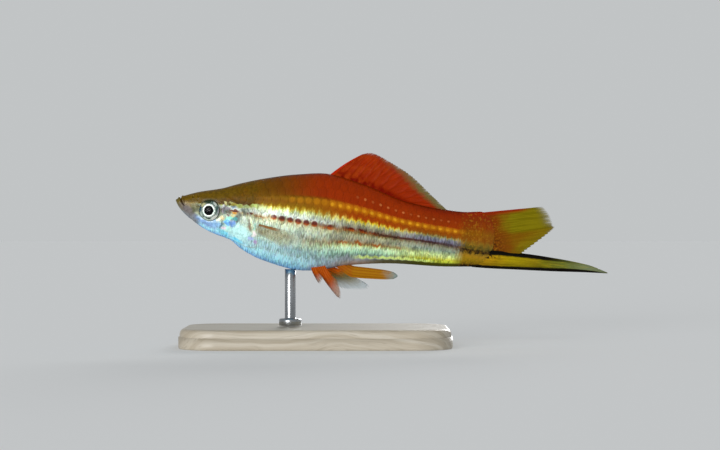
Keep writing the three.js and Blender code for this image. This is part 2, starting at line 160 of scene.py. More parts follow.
def newMesh(name, points, faces):
    mesh = bpy.data.meshes.new(name)
    mesh.from_pydata([tuple(p) for p in points], [], faces)
    mesh.polygons.foreach_set("use_smooth", [True] * len(mesh.polygons))
    mesh.update()
    piece = bpy.data.objects.new(name, mesh)
    bpy.context.scene.collection.objects.link(piece)
    return piece


def closedMesh(name, points, faces):  # a closed piece given in the fish's frame, its faces turned outwards
    piece = newMesh(name, toWorld(points), faces)
    polygons = piece.data.polygons
    centre, facing, size = (np.empty(len(polygons) * n, np.float32) for n in (3, 3, 1))
    polygons.foreach_get("center", centre)
    polygons.foreach_get("normal", facing)
    polygons.foreach_get("area", size)
    centre, facing = centre.reshape(-1, 3), facing.reshape(-1, 3)
    if ((centre - centre.mean(0)) * facing * size[:, None]).sum() < 0:
        piece.data.flip_normals()
    return piece


def ringFaces(rings, around):  # quads between one ring of points and the next
    i, j = np.meshgrid(np.arange(rings - 1) * around, np.arange(around), indexing="ij")
    k = (j + 1) % around
    return np.stack([i + j, i + k, i + around + k, i + around + j], -1).reshape(-1, 4).tolist()


def tipFaces(rings, around):  # fans that close a tube of rings, from two tips whose points come last
    tip, last = rings * around, (rings - 1) * around
    pairs = [(j, (j + 1) % around) for j in range(around)]
    return [(tip, k, j) for j, k in pairs] + [(tip + 1, last + j, last + k) for j, k in pairs]


def storeVector(piece, name, values):
    layer = piece.data.attributes.new(name, "FLOAT_VECTOR", "POINT")
    layer.data.foreach_set("vector", np.asarray(values, np.float32).ravel())


def distanceTo(path, along, up):  # side-view distance to a path of points
    best = np.full(np.shape(along), 1e9)
    for (a0, u0), (a1, u1) in zip(path[:-1], path[1:]):
        runA, runU = a1 - a0, u1 - u0
        t = np.clip(((along - a0) * runA + (up - u0) * runU) / (runA**2 + runU**2), 0, 1)
        best = np.minimum(best, np.hypot(along - a0 - t * runA, up - u0 - t * runU))
    return best


def insideOf(path, along, up):  # whether side-view places lie inside a closed path
    inside = np.zeros(np.shape(along), bool)
    for (a0, u0), (a1, u1) in zip(path, path[1:] + path[:1]):
        if u0 == u1:
            continue
        crosses = (u0 > up) != (u1 > up)
        inside ^= crosses & (along < (a1 - a0) * (up - u0) / (u1 - u0) + a0)
    return inside


def rounded(points, perStep=6):  # a spline through side-view points
    pts = np.array(points, float)
    pts = np.concatenate([pts[:1] * 2 - pts[1:2], pts, pts[-1:] * 2 - pts[-2:-1]])
    result = []
    for p0, p1, p2, p3 in zip(pts, pts[1:], pts[2:], pts[3:]):
        for t in np.arange(perStep) / perStep:
            result.append(tuple(0.5 * (2 * p1 + (p2 - p0) * t + (2 * p0 - 5 * p1 + 4 * p2 - p3) * t**2
                                       + (3 * p1 - p0 - 3 * p2 + p3) * t**3)))
    result.append(tuple(pts[-2]))
    return result


# Rows of scales and where the markings lie

rows = {
    "count": [0, 1, 2, 3, 4, 5, 5.5],  # rows of scales above or below the line along the flank
    "share": [0, 0.2, 0.42, 0.62, 0.81, 0.95, 1.0],  # their share of the way to the back or the belly
    "pitch": 1.95,  # from one scale to the next behind the head
    "shrink": 0.0034,  # and how much of it each scale loses towards the tail
    "firstColumn": 7.72,
}


def rowUp(along, row):  # how high a row runs at a place
    share = np.interp(np.abs(row), rows["count"], rows["share"])
    middle = lateralUp(along)
    reach = np.where(np.asarray(row) >= 0, backUp(along) - middle, middle - bellyUp(along))
    return middle + np.sign(row) * share * reach


def rowOf(along, up):  # which row a place lies on, the other way round
    middle = lateralUp(along)
    reach = np.where(up >= middle, backUp(along) - middle, middle - bellyUp(along))
    share = np.clip(np.abs(up - middle) / reach, 0, 1)
    return np.sign(up - middle) * np.interp(share, rows["share"], rows["count"])


def columnAt(column):  # how far along a column of scales stands
    return rows["firstColumn"] + rows["pitch"] * column - rows["shrink"] * column**2


def lieOf(points):  # place along, height and row, which the markings are painted by
    along, up = points[:, 0], points[:, 2]
    return np.stack([along, up, rowOf(along, up)], -1)


# The skin, one surface from the snout to the root of the tail fin

skinMake = {
    "under": -0.12,  # the skin lies this deep under the scales, which make up the rest
    "bareUnder": -0.03,  # and this deep where it is bare
    "around": 240,
    "snoutRings": 16,
    "rings": [(3.0, 30), (11.0, 100), (21.0, 80), (70.0, 80), (74.15, 16)],  # up to a place, how many
}
head = {
    "mouthPath": [(0.45, 2.4), (0.9, 1.45), (1.32, 0.45), (1.75, -0.4), (2.5, -1.15)],
    "jawPath": [(2.5, -1.15), (3.3, -2.6), (4.7, -4.4)],
    "slitDepth": 0.4,
    "slitBreadth": 0.11,
    "creaseDepth": 0.09,
    "creaseBreadth": 0.16,
    "lipHeight": 0.17,
    "lipOffset": 0.42,
    "lipBreadth": 0.24,
    "nostrils": [(4.1, 1.35), (5.3, 1.65)],
    "nostrilRadius": 0.2,
    "nostrilDepth": 0.32,
    "nostrilRim": (0.09, 0.36, 0.12),  # its height, radius and breadth
    "poreDepth": 0.09,
    "poreRadius": 0.11,
    "pores": [(5.2, 0.75), (6.6, 2.0), (8.7, 2.15), (10.7, 1.2), (12.1, -1.0), (12.7, -2.9), (13.5, -4.6)],
    "coverRear": [(15.65, 1.0), (16.45, 0.75), (18.15, -1.2), (19.05, -2.8), (20.05, -5.3), (20.3, -7.15),
                  (19.55, -8.2), (16.8, -7.95), (14.25, -6.85)],
    "coverFront": [(12.9, -6.6), (13.2, -5), (12.4, -3.3), (11.55, -1.5), (11.65, 0.3), (12.85, 0.85)],
    "coverProud": 0.3,
    "slotDepth": 0.3,
    "grooveDepth": 0.13,
    "foldDepth": 0.08,
    "foldBreadth": 0.13,
    "throatFolds": [[(6.7, -5.45), (9.9, -6.5), (13.9, -7.8)], [(8.5, -5.15), (10.9, -6.05), (13.5, -6.7)]],
    "socketEdge": 2.4,
    "socketFade": 3.4,
}


def ringPlaces():
    turns = np.linspace(0, math.pi / 2, skinMake["snoutRings"] + 1)
    places = list(fish["snoutRound"] * (1 - np.cos(turns[1:])))
    for end, count in skinMake["rings"]:
        places += list(np.linspace(places[-1], end, count + 1)[1:])
    return np.array(places[:-1])


def bump(distance, breadth):
    return np.exp(-((distance / breadth) ** 2))


def headRelief(along, up):  # how far the skin stands out or sinks, and where painted shade darkens mouth and gill slot
    mouth = distanceTo(rounded(head["mouthPath"]), along, up)
    lips = bump(mouth - head["lipOffset"], head["lipBreadth"]) * (1 - smooth(along, 1.7, 2.7))
    slit = bump(mouth, head["slitBreadth"]) * (1 - smooth(along, 2.0, 2.6))
    crease = bump(distanceTo(rounded(head["jawPath"]), along, up), head["creaseBreadth"])
    relief = head["lipHeight"] * lips - head["slitDepth"] * slit - head["creaseDepth"] * crease
    height, radius, breadth = head["nostrilRim"]
    for place in head["nostrils"]:
        reach = np.hypot(along - place[0], up - place[1])
        relief += height * bump(reach - radius, breadth)
        relief -= head["nostrilDepth"] * bump(reach, head["nostrilRadius"])
    for place in head["pores"]:
        relief -= head["poreDepth"] * bump(np.hypot(along - place[0], up - place[1]), head["poreRadius"])
    rear, front = rounded(head["coverRear"]), rounded(head["coverFront"])
    edge = distanceTo(rear, along, up)
    signed = np.where(insideOf(rear + front, along, up), edge, -edge)
    nearTop = 1 - smooth(up, 0.1, 1.0)
    raised = smooth(signed, -0.05, 0.1) * (1 - smooth(edge, 1.2, 5.5)) * nearTop
    slot = bump(signed + 0.17, 0.13) * nearTop * smooth(along, 13.2, 15) * smooth(up, -8.2, -6.8)
    relief += head["coverProud"] * raised - head["slotDepth"] * slot
    groove = distanceTo(front, along, up)
    relief += 0.05 * bump(groove - 0.3, 0.2) - head["grooveDepth"] * bump(groove, 0.14)
    for fold in head["throatFolds"]:
        reach = distanceTo(rounded(fold), along, up)
        relief -= head["foldDepth"] * bump(reach, head["foldBreadth"]) * (1 - smooth(along, 12, 13.5))
    return relief, slit, slot, bump(signed - 0.12, 0.16) * nearTop * smooth(along, 14, 16)


def setSocket(along, out, up):  # the skin dips under the eyeball and makes a low rim round it
    side = np.where(out < 0, -1, 1)
    reach = np.hypot((along - eyeAlong) / math.cos(fish["eyeTurn"]), up - eyeUp)
    plane = fish["eyeOut"] + (along - eyeAlong) * math.tan(fish["eyeTurn"])
    rim = plane + 0.36 + 0.05 * bump(reach - 2.52, 0.08)
    natural = np.abs(out)
    blend = 1 - smooth(reach, head["socketEdge"] + 0.06, head["socketFade"])
    level = lerp(natural, np.where(reach > 2, rim, natural), blend)
    level = lerp(plane - 0.2, level, smooth(reach, head["socketEdge"] - 0.07, head["socketEdge"]))
    return np.where(reach < head["socketFade"], side * level, out)


def makeSkin():
    places = ringPlaces()
    around = skinMake["around"]
    share = np.arange(around) / around
    dense = -math.pi / 2 + 2 * math.pi * np.linspace(0, 1, 961)
    angles = []
    for place in places:  # points spaced evenly round each ring
        ring = bodyRing(np.full_like(dense, place), dense)
        length = np.concatenate([[0], np.cumsum(np.linalg.norm(np.diff(ring, axis=0), axis=1))])
        angles.append(np.interp(share * length[-1], length, dense))
    angles = np.array(angles)
    spread = places[:, None] + 0 * share
    starts = np.interp(bodyRing(spread, angles)[..., 2], *zip(*plate["front"]))
    under = lerp(skinMake["bareUnder"], skinMake["under"], smooth(spread, starts - 2.6, starts - 1.4))
    grid = bodyRing(spread, angles, under)
    normal = np.cross(np.roll(grid, -1, 1) - np.roll(grid, 1, 1), np.gradient(grid, axis=0))
    normal /= np.linalg.norm(normal, axis=2, keepdims=True) + 1e-9
    outward = np.stack([0 * grid[..., 0], grid[..., 1], grid[..., 2] - widestUp(grid[..., 0])], -1)
    normal *= np.sign((normal * outward).sum(2).mean())
    along, out, up = np.moveaxis(grid, 2, 0)
    relief, *masks = headRelief(along, up)
    grid = grid + normal * relief[..., None]
    grid[..., 1] = setSocket(along, grid[..., 1], up)
    tips = np.array([[0.0, 0, widestUp(0)], [places[-1] + 0.02, 0, widestUp(70)]])
    body = grid.reshape(-1, 3)
    faces = ringFaces(len(places), around) + tipFaces(len(places), around)
    piece = closedMesh("skin", np.concatenate([body, tips]), faces)
    lie = np.stack([along, out, up], -1).reshape(-1, 3)
    storeVector(piece, "lie", lieOf(np.concatenate([lie, tips])))
    storeVector(piece, "relief", np.concatenate([np.stack(masks, -1).reshape(-1, 3), np.zeros((2, 3))]))
    world = toWorld(body + normal.reshape(-1, 3) * 0.01) - toWorld(body)
    world /= np.linalg.norm(world, axis=1, keepdims=True)
    storeVector(piece, "skinNormal", np.concatenate([world, [[-1, 0, 0], [1, 0, 0]]]))
    return piece


# Helpers for materials


def tint(code):  # a colour as on a colour chart, made linear
    parts = [int(code[i:i + 2], 16) / 255 for i in (0, 2, 4)]
    return tuple(p / 12.92 if p <= 0.04045 else ((p + 0.055) / 1.055) ** 2.4 for p in parts) + (1,)


class Reading:  # one value in a node tree, so that sums of values are written as sums
    def __init__(self, bench, socket):
        self.bench, self.socket = bench, socket

    def __add__(self, other):
        return self.bench.maths("ADD", self, other)

    def __sub__(self, other):
        return self.bench.maths("SUBTRACT", self, other)

    def __rsub__(self, other):
        return self.bench.maths("SUBTRACT", other, self)

    def __mul__(self, other):
        return self.bench.maths("MULTIPLY", self, other)

    def __abs__(self):
        return self.bench.maths("ABSOLUTE", self)

    def __or__(self, other):  # the larger of the two
        return self.bench.maths("MAXIMUM", self, other)


class Bench:  # places and joins the nodes of one tree
    def __init__(self, tree):
        self.tree = tree

    def node(self, kind, **settings):
        made = self.tree.nodes.new(kind)
        for key, setting in settings.items():
            setattr(made, key, setting)
        return made

    def feed(self, socket, source):
        source = source.socket if isinstance(source, Reading) else source
        if isinstance(source, bpy.types.NodeSocket):
            self.tree.links.new(source, socket)
        else:
            socket.default_value = source

    def wire(self, made, sources, out=0):  # feeds a node's sockets by name and reads one of its outputs
        for name, source in sources.items():
            self.feed(made.inputs[name], source)
        return Reading(self, made.outputs[out])

    def fill(self, made, *sources, out=0):  # the same with its sockets in their order
        for socket, source in zip(made.inputs, sources):
            self.feed(socket, source)
        return Reading(self, made.outputs[out])

    def maths(self, operation, *sources, clamp=False):
        return self.fill(self.node("ShaderNodeMath", operation=operation, use_clamp=clamp), *sources)

    def vector(self, operation, *sources):
        return self.fill(self.node("ShaderNodeVectorMath", operation=operation), *sources)

    def length(self, source):
        return self.fill(self.node("ShaderNodeVectorMath", operation="LENGTH"), source, out="Value")

    def scaled(self, source, factor):
        made = self.node("ShaderNodeVectorMath", operation="SCALE")
        return self.wire(made, {"Vector": source, "Scale": factor})

    def split(self, source):
        made = self.node("ShaderNodeSeparateXYZ")
        self.feed(made.inputs[0], source)
        return [Reading(self, socket) for socket in made.outputs]

    def join(self, x, y, z=0):
        return self.fill(self.node("ShaderNodeCombineXYZ"), x, y, z)

    def fade(self, source, low, high, start=0.0, end=1.0):  # start to end as the source goes low to high
        made = self.node("ShaderNodeMapRange", interpolation_type="SMOOTHSTEP")
        return self.fill(made, source, low, high, start, end)

    def band(self, source, centre, half, soft):  # one inside a band, nothing outside
        return self.fade(abs(source - centre), half + soft, max(half - soft, 0))

    def mix(self, factor, first, second, blend="MIX"):
        made = self.node("ShaderNodeMix", data_type="RGBA", blend_type=blend)
        self.feed(made.inputs[0], factor)
        for socket, source in zip(made.inputs[6:8], (first, second)):
            self.feed(socket, tint(source) if isinstance(source, str) else source)
        return Reading(self, made.outputs[2])

    def shaded(self, colour, shade):
        return self.mix(1.0, colour, self.join(shade, shade, shade), "MULTIPLY")

    def ramp(self, source, stops):
        made = self.node("ShaderNodeValToRGB")
        band = made.color_ramp
        while len(band.elements) < len(stops):
            band.elements.new(0.5)
        for element, (place, code) in zip(band.elements, stops):
            element.position, element.color = place, tint(code)
        return self.fill(made, source)

    def noise(self, place, scale, detail=2.0, rough=0.5, out=0):
        made = self.node("ShaderNodeTexNoise")
        return self.wire(made, {"Vector": place, "Scale": scale, "Detail": detail, "Roughness": rough}, out)

    def attribute(self, name, out="Vector"):
        return Reading(self, self.node("ShaderNodeAttribute", attribute_name=name).outputs[out])

    def objectPlace(self):
        return Reading(self, self.node("ShaderNodeTexCoord").outputs["Object"])

    def blob(self, place, centre, size, turn=0.0, soft=0.5):  # a soft round patch
        made = self.node("ShaderNodeMapping", vector_type="TEXTURE")
        within = self.wire(made, {
            "Vector": place, "Location": (*centre, 0), "Rotation": (0, 0, math.radians(turn)),
            "Scale": (*size, 1)})
        return self.fade(self.length(within), 1 + soft, 1 - soft)

    def dab(self, colour, place, centre, size, code, strength=0.85, turn=0, soft=0.4):  # a blob of colour
        return self.mix(self.blob(place, centre, size, turn, soft) * strength, colour, code)

    def emboss(self, shader, height, strength, depth):
        made = self.node("ShaderNodeBump")
        raised = self.wire(made, {"Strength": strength, "Distance": depth * mm, "Height": height})
        self.feed(shader.inputs["Normal"], raised)


def newMaterial(name, settings):  # a material with its shader's fixed values set
    made = bpy.data.materials.new(name)
    made.use_nodes = True
    bench = Bench(made.node_tree)
    shader = made.node_tree.nodes["Principled BSDF"]
    bench.wire(shader, settings)
    return made, bench, shader


def newGroup(name, inputs, outputs):
    tree = bpy.data.node_groups.new(name, "ShaderNodeTree")
    for way, sockets in (("INPUT", inputs), ("OUTPUT", outputs)):
        for label, kind in sockets.items():
            tree.interface.new_socket(name=label, in_out=way, socket_type="NodeSocket" + kind)
    bench = Bench(tree)
    given = [Reading(bench, socket) for socket in bench.node("NodeGroupInput").outputs[:len(inputs)]]
    return bench, given, bench.node("NodeGroupOutput")


# The markings, which the skin and the scales share

marks = {
    "shoulder": [  # bands from the belly up to the back, each with the row of scales it lies on
        (-5.5, "5890d0"), (-4.9, "86c8fe"), (-4.4, "a4e6ff"), (-3.9, "b0ecfc"), (-3.3, "a8ced2"),
        (-2.7, "a2c8cc"), (-2.1, "c0d8c0"), (-1.5, "b4b898"), (-0.9, "bed4c0"), (-0.4, "dce8c4"),
        (0.05, "b29e6e"), (0.5, "e4f2e8"), (0.9, "ecfcd0"), (1.15, "d8de74"), (1.35, "b89220"),
        (1.6, "8c640c"), (1.95, "865608"), (2.3, "8c600c"), (2.6, "724c02"), (3.2, "664003"),
        (5.0, "683e03"), (5.5, "523005"),
    ],
    "midFlank": [
        (-5.5, "8c5c3c"), (-4.4, "a89a92"), (-3.95, "a0a2aa"), (-3.6, "949ca0"), (-3.1, "86a694"),
        (-2.7, "b0dcba"), (-2.2, "d0f2c2"), (-1.9, "c6d48e"), (-1.6, "987a48"), (-1.1, "9a967c"),
        (-0.6, "aaac86"), (-0.2, "846c3c"), (0.15, "70543a"), (0.5, "8a8872"), (0.8, "b4b476"),
        (1.0, "d6be30"), (1.18, "ae6406"), (1.38, "9c3a00"), (1.7, "9e4400"), (2.0, "b66a02"),
        (2.35, "aa5402"), (2.6, "982e00"), (3.2, "9a3000"), (3.5, "a43a02"), (5.0, "8c2400"), (5.5, "781a00"),
    ],
    "tail": [
        (-5.5, "2a2604"), (-4.2, "363a04"), (-3.9, "50580c"), (-3.65, "a0a830"), (-3.3, "bcc63c"),
        (-3.0, "c2c03a"), (-2.6, "d0dc74"), (-2.1, "d0e496"), (-1.7, "a8bc84"), (-1.1, "8a9c88"),
        (-0.6, "8c907c"), (-0.25, "7a745c"), (0.1, "605048"), (0.5, "727084"), (0.85, "868a8c"),
        (1.05, "a49a58"), (1.25, "8c5410"), (1.6, "8e4402"), (2.0, "a86204"), (2.35, "a45a04"),
        (2.6, "943400"), (3.2, "8c3000"), (4.5, "842400"), (5.5, "6c1c00"),
    ],
    "tailEnd": [
        (-5.5, "0c0802"), (-4.5, "140e02"), (-4.0, "342000"), (-3.5, "6e5507"), (-2.9, "826604"),
        (-2.0, "98760f"), (-1.4, "9c7414"), (-0.9, "8c6c1a"), (-0.5, "563e08"), (0.0, "452e08"),
        (0.5, "5e5018"), (0.9, "7e6018"), (1.4, "844a06"), (2.1, "845002"), (3.0, "863a02"),
        (4.0, "7e2e02"), (5.0, "892202"), (5.5, "7a1c02"),
    ],
    "changes": ((27, 43), (47, 59), (64.5, 67.5)),  # where each set of bands gives way to the next
    "redBack": "922c00",
    "spotTop": "5e1208",
    "spotFoot": "a04a10",
    "line": "44201a",
    "gold": "dc9a1c",
    "topDots": "c4703a",
    "rim": "d4ec84",
    # the lower edge: part olive-brown colour, part painted shade
    "underside": "444406",
    "ridge": "3c1c04",  # along the back's middle: part the crest's dark colour, part painted shade where the back turns away
    "goldEdge": "cc840c",
    "secondLine": "9a5a26",
    "gilt": "a87a18",
    "mottles": "1e1408",
    "scalp": ("604603", "724a02", "7c5c14"),
    "orbitShade": "3a4024",  # painted shade in the fold round the eye
}
headPaint = [  # patches: centre along and up, half length and height, colour, strength, turn, softness
    ((1.4, 0.3), (4.6, 2.6), "64500a", 0.9, -18, 0.25),
    ((7.0, 2.4), (7.4, 1.9), "644c04", 0.9, 14, 0.3),
    ((0.2, 0.1), (1.0, 1.3), "62561e", 0.8, 0, 0.3),
    ((3.9, -2.7), (3.0, 1.25), "7c7474", 0.9, -45),
    ((4.9, -1.0), (0.9, 1.1), "5c6044", 0.7, -20),
    ((7.9, -4.0), (2.6, 0.8), "8cb2ee", 0.8, -20, 0.5),
    ((10.1, -3.9), (1.2, 0.7), "9ccfff", 0.85, -20, 0.5),
    ((7.8, -3.35), (1.9, 0.28), "d4ecff", 0.85, -10),
    # painted highlight: a cream patch behind the eye's lower rim
    ((10.7, -3.1), (0.6, 0.32), "f4f6e0", 0.85, 30),
    ((11.0, -1.2), (0.5, 0.7), "6c705c", 0.7),
    # painted highlight: a cream spot behind the eye's lower rim
    ((11.4, -2.4), (0.36, 0.5), "ffe9b4", 0.95, -15, 0.3),
    ((12.1, -0.6), (1.15, 0.85), "8d8590", 0.9, 0, 0.3),
    ((12.2, -1.0), (0.5, 0.55), "7d9388", 0.8, 0, 0.3),
    ((12.8, -1.0), (0.6, 0.5), "6c6048", 0.7),
    ((12.6, -1.8), (0.4, 0.26), "7a4a5a", 0.8),
    ((16.0, -5.0), (2.5, 1.7), "ccfffc", 0.85, -34),
    ((15.5, -7.1), (1.3, 0.55), "6cdcff", 0.85, -28, 0.5),
    ((12.2, -5.9), (1.5, 0.5), "84e6ff", 0.85, -24, 0.5),
    ((12.8, -4.7), (1.0, 0.75), "c8fcf0"),
    ((12.0, -4.7), (0.5, 0.32), "f4dcec", 0.9),
    ((11.4, -4.1), (0.24, 0.95), "4a7488", 0.75, -26),
    ((15.1, -2.0), (0.6, 1.25), "52626a", 0.75, -8, 0.35),
    ((12.7, -3.3), (0.75, 0.75), "74c2ff", 0.9, 0, 0.3),
    ((14.0, -3.4), (0.7, 0.8), "5484d0", 0.85, -10, 0.5),
    ((14.3, -2.2), (0.5, 0.45), "54b4b4", 0.85, 0, 0.3),
    ((13.1, -2.3), (1.3, 0.28), "a4f4dc", 0.9, 28),
    ((14.1, -0.5), (1.15, 0.32), "6a2408", 0.95, 0, 0.3),
    ((14.1, -1.1), (0.52, 0.3), "ffb040", 0.95, 0, 0.3),
    ((14.0, -1.6), (0.5, 0.24), "f4eaa8", 0.9, 10),
    ((16.5, -0.2), (1.1, 0.5), "748474", 0.75),
    ((13.6, 0.3), (0.65, 0.32), "7494c4", 0.75),
    # painted highlights: two pale spots just behind the eye, yellow-white and white
    ((11.8, 1.0), (0.5, 0.4), "fbf6a8", 0.95, 0, 0.3),
    ((11.4, 0.2), (0.28, 0.4), "ffffff", 0.9, 0, 0.3),
    # these five: a yellow-green strip above the gill cover, part its own colour, part painted highlight
    ((13.0, 1.2), (0.42, 0.3), "e8e48c", 0.9, 0, 0.3),
    ((13.9, 0.9), (0.8, 0.35), "d4c450", 0.8),
    ((15.0, 0.7), (0.85, 0.4), "e2f084", 0.9, 0, 0.3),
    ((16.5, 0.7), (0.75, 0.4), "dcf0a4", 0.9, 0, 0.3),
    ((18.6, 1.3), (0.9, 0.4), "d4ec88", 0.8),
    ((20.2, 0.6), (1.3, 0.9), "b0c098", 0.55, 5, 0.7),
    ((16.6, -1.9), (0.24, 0.7), "e8f4e8", 0.85, 5),
    ((16.4, -1.0), (0.5, 0.45), "8c9080", 0.7),
    ((17.7, -2.7), (0.3, 1.2), "8a8070", 0.8, 5),
    ((18.3, -2.1), (0.24, 1.2), "e6f4c4", 0.9, -4),
    ((19.1, -3.6), (0.22, 0.9), "a4e8d0", 0.85, 5),
    ((18.1, -3.7), (0.24, 0.7), "94745c", 0.8, 5),
    ((17.7, -0.6), (0.6, 0.36), "7a3a30"),
    ((19.8, -1.0), (1.1, 0.26), "a07850", 0.85, -8),
    # painted highlight: a pinkish-white spot on the gill cover's lower rear
    ((19.2, -5.0), (0.5, 0.6), "fff2f2", 0.95),
    ((18.5, -6.1), (0.6, 0.5), "b4c4fa", 0.9),
    ((19.8, -6.7), (0.4, 0.5), "b294c4"),
]


def rowRamp(bench, row, name):
    edge = rows["count"][-1]
    stops = [((place / edge + 1) / 2, code) for place, code in marks[name]]
    return bench.ramp(row * (0.5 / edge) + 0.5, stops)


def makeMarkings():
    bench, (lie, placed, seed), result = newGroup(
        "markings", {"Lie": "Vector", "Place": "Vector", "Seed": "Float"},
        {"Color": "Color", "Silver": "Float", "Height": "Float"})
    fade, mix, noise, join = bench.fade, bench.mix, bench.noise, bench.join
    along, up, row = bench.split(lie)
    above = fade(along, 38, 58, 0.06, 0.17)
    row = row + fade(row, 1.2, -0.5, above, fade(along, 38, 50, 0.15, 0.38))
    millimetres = bench.scaled(placed, 1000)
    cloud = noise(millimetres, 0.45, 3)
    grit = noise(millimetres, 2.6, 2, 0.6)
    side = join(along, up)

    def strokes(lengthwise, upright, detail, shift=0.0):  # upright strokes, finer along the fish than up it
        return noise(join(along * lengthwise + shift, up * upright), 1, detail)

    teeth = strokes(2.1, 0.4, 2)
    fine = strokes(4.4, 0.8, 3, 20)
    pitch, shrink = rows["pitch"], rows["shrink"]  # columnAt, solved for the column
    inner = along * (-4 * shrink) + (pitch**2 + 4 * shrink * rows["firstColumn"])
    column = bench.maths("SQRT", inner) * (-0.5 / shrink) + 0.5 * pitch / shrink
    scallop = bench.maths("COSINE", column * (2 * math.pi)) * 0.06
    wobble = grit * 0.3 - 0.15
    jagged = (teeth - 0.5) * fade(row, 2.0, 1.6, 0.4, 0.75)
    wavy = (row + scallop) + (wobble + jagged)
    colour = rowRamp(bench, wavy, "shoulder")
    for (start, end), name in zip(marks["changes"], ("midFlank", "tail")):
        colour = mix(fade(along, start, end), colour, rowRamp(bench, wavy, name))
    colour = mix(fade(row, 2.4, 2.8) * fade(along, 20, 35) * fade(along, 60, 45), colour, marks["redBack"])
    # darker along the back's middle: part the crest's dark colour, part painted shade where the back turns
    # away
    colour = mix(fade(row, 4.9, 5.4, 0, 0.35), colour, marks["ridge"])

    def window(start, end, soft=1.0):
        return fade(along, start - soft, start + soft) * fade(along, end + soft, end - soft)

    def dots(atRow, size, start, end, shift=0.0, ragged=wobble):  # one dot on each scale of a row
        x = (bench.maths("FRACT", column + (shift + 0.5)) - 0.5) * (1 / size[0])
        y = (row - atRow) * (1 / size[1])
        return fade(bench.length(join(x, y)) + ragged, 1.3, 0.7) * window(start, end)

    patchy = fade(noise(side, 0.55, 2), 0.36, 0.6)
    # a pale gold dot on each scale of the band: part gold colour, part painted highlight on the scale's rear
    colour = mix(dots(2.2, (0.4, 0.3), 26, 70, 0.15) * 0.35, colour, marks["goldEdge"])
    colour = mix(dots(2.12, (0.2, 0.16), 35, 68, 0.15) * (patchy * 0.6 + 0.3), colour, marks["gold"])
    colour = mix(dots(3.36, (0.17, 0.15), 41, 64, 0.2) * (patchy * 0.45 + 0.3), colour, marks["topDots"])
    spots = dots(0.2, (0.4, 0.27), 22.4, 34) | dots(0.08, (0.52, 0.27), 34.5, 37)
    spots = spots | dots(0.1, (0.5, 0.24), 39.5, 49, 0.4, (teeth - 0.5) * 1.6) * patchy
    foot = mix(fade(row, 0.22, -0.02), marks["spotTop"], marks["spotFoot"])
    colour = mix(spots * 0.95, colour, foot)
    line = fade(abs(row + wobble - fade(along, 46, 66, 0.02, 0.3)), 0.24, 0.08) * fade(along, 43, 49)
    line = line * fade(along, 66, 58, 0.6, 1) * fade(teeth, 0.25, 0.5, 0.45, 1)
    colour = mix(line * 0.85, colour, marks["line"])
    second = fade(abs(wavy + 1.55), 0.3, 0.1) * window(38, 52, 3)
    colour = mix(second * fade(noise(side, 0.45, 2), 0.45, 0.62), colour, marks["secondLine"])

    lobes = abs(bench.maths("SINE", column * math.pi))
    rimRow = lobes * -0.2 - 3.4
    # below the pale scalloped line, from the middle back: part dark colour, part painted shade of the body's
    # lower edge
    under = fade(rimRow - row, 0.15, 0.5) * fade(along, 42, 50)
    colour = mix(under * 0.85, colour, marks["underside"])
    away = abs(row + wobble - rimRow)
    colour = mix(fade(away, 0.34, 0.14) * window(43, 60, 2) * 0.85, colour, marks["rim"])
    ending = fade((teeth - 0.5) * 3 + along, *marks["changes"][2])
    colour = mix(ending, colour, rowRamp(bench, wavy, "tailEnd"))
    specks = noise(millimetres, 1.9, 2)
    colour = mix(fade(specks, 0.56, 0.64) * ending * fade(along, 68, 71, 0.42, 0.28), colour, marks["gilt"])
    mottled = fade(specks, 0.48, 0.4) * ending * bench.band(row, -0.3, 0.7, 0.4)
    colour = mix(mottled * 0.85, colour, marks["mottles"])

    lower = fade(row, -3.5, -3.8) * fade(along, 38, 46)
    silver = bench.maths("SUBTRACT", 1.0, fade(wavy, 1.12, 1.4) | ending | lower, clamp=True)
    # painted sparkle: on the silver part each scale and fine upright strokes are made lighter or darker,
    # standing in for glints of light
    sparkle = fade(seed * 0.2 + fine, 0.38, 0.8)
    depth = fade(silver, 0, 1, 0.2, 0.95) * fade(along, 13, 20, 0.4, 1) * fade(row, -3, -4, 1, 0.8)
    # painted iridescent sheen: a tint of colour that drifts from place to place, strongest on the silver
    # scales
    hue = noise(join(along * 2.6, up * 0.9, 5), 1.0, out="Color")
    paintedIridescence = bench.vector("MULTIPLY_ADD", hue, (0.5, 0.34, 0.5), (0.75, 0.83, 0.75))
    colour = bench.shaded(colour, (sparkle - 0.5) * depth + 1.0)
    colour = mix(silver * 0.7 + 0.2, colour, mix(1.0, colour, paintedIridescence, "MULTIPLY"))

    forward = fade(along, 21.5, 17.5)
    scalp = mix(fade(cloud, 0.35, 0.7), *marks["scalp"][:2])
    scalp = mix(fade(grit, 0.55, 0.7, 0, 0.4), scalp, marks["scalp"][2])
    colour = mix(forward * fade((fine - 0.5) * 1.3 + row, 0.9, 1.3), colour, scalp)
    drift = bench.vector("SUBTRACT", noise(millimetres, 1.3, 3.0, out="Color"), (0.5, 0.5, 0.5))
    wander = bench.vector("MULTIPLY_ADD", drift, (1.3, 1.3, 0), side)
    for patch in headPaint:
        colour = bench.dab(colour, wander, *patch)
    fromEye = bench.length(bench.vector("SUBTRACT", side, (eyeAlong, eyeUp, 0)))
    # painted shade: a dark ring in the fold of skin round the eye, fading out below it
    colour = mix(bench.band(fromEye, 2.5, 0.2, 0.2) * fade(up, -3.4, -2.4) * 0.7, colour, marks["orbitShade"])
    # painted glints and shade on the head: blotches made lighter and darker in front, the dip along gill
    # cover and shoulder made darker
    blotches = fine * 0.35 + noise(millimetres, 1.5, 2) * 0.65
    glints = forward * fade(blotches, 0.36, 0.62, -0.16, 0.2) + 1.0
    paintedDipShade = bench.blob(side, (15, 0.0), (5.5, 1.9), -3, 0.4)  # painted shade over the dip along gill cover and shoulder
    colour = bench.shaded(colour, glints * (paintedDipShade * -0.46 + 1.0))
    for socket, source in zip(result.inputs, (colour, silver, grit)):
        bench.feed(socket, source)
    return bench.tree


# The scales, thin plates set in rows by Geometry Nodes and laid on the skin

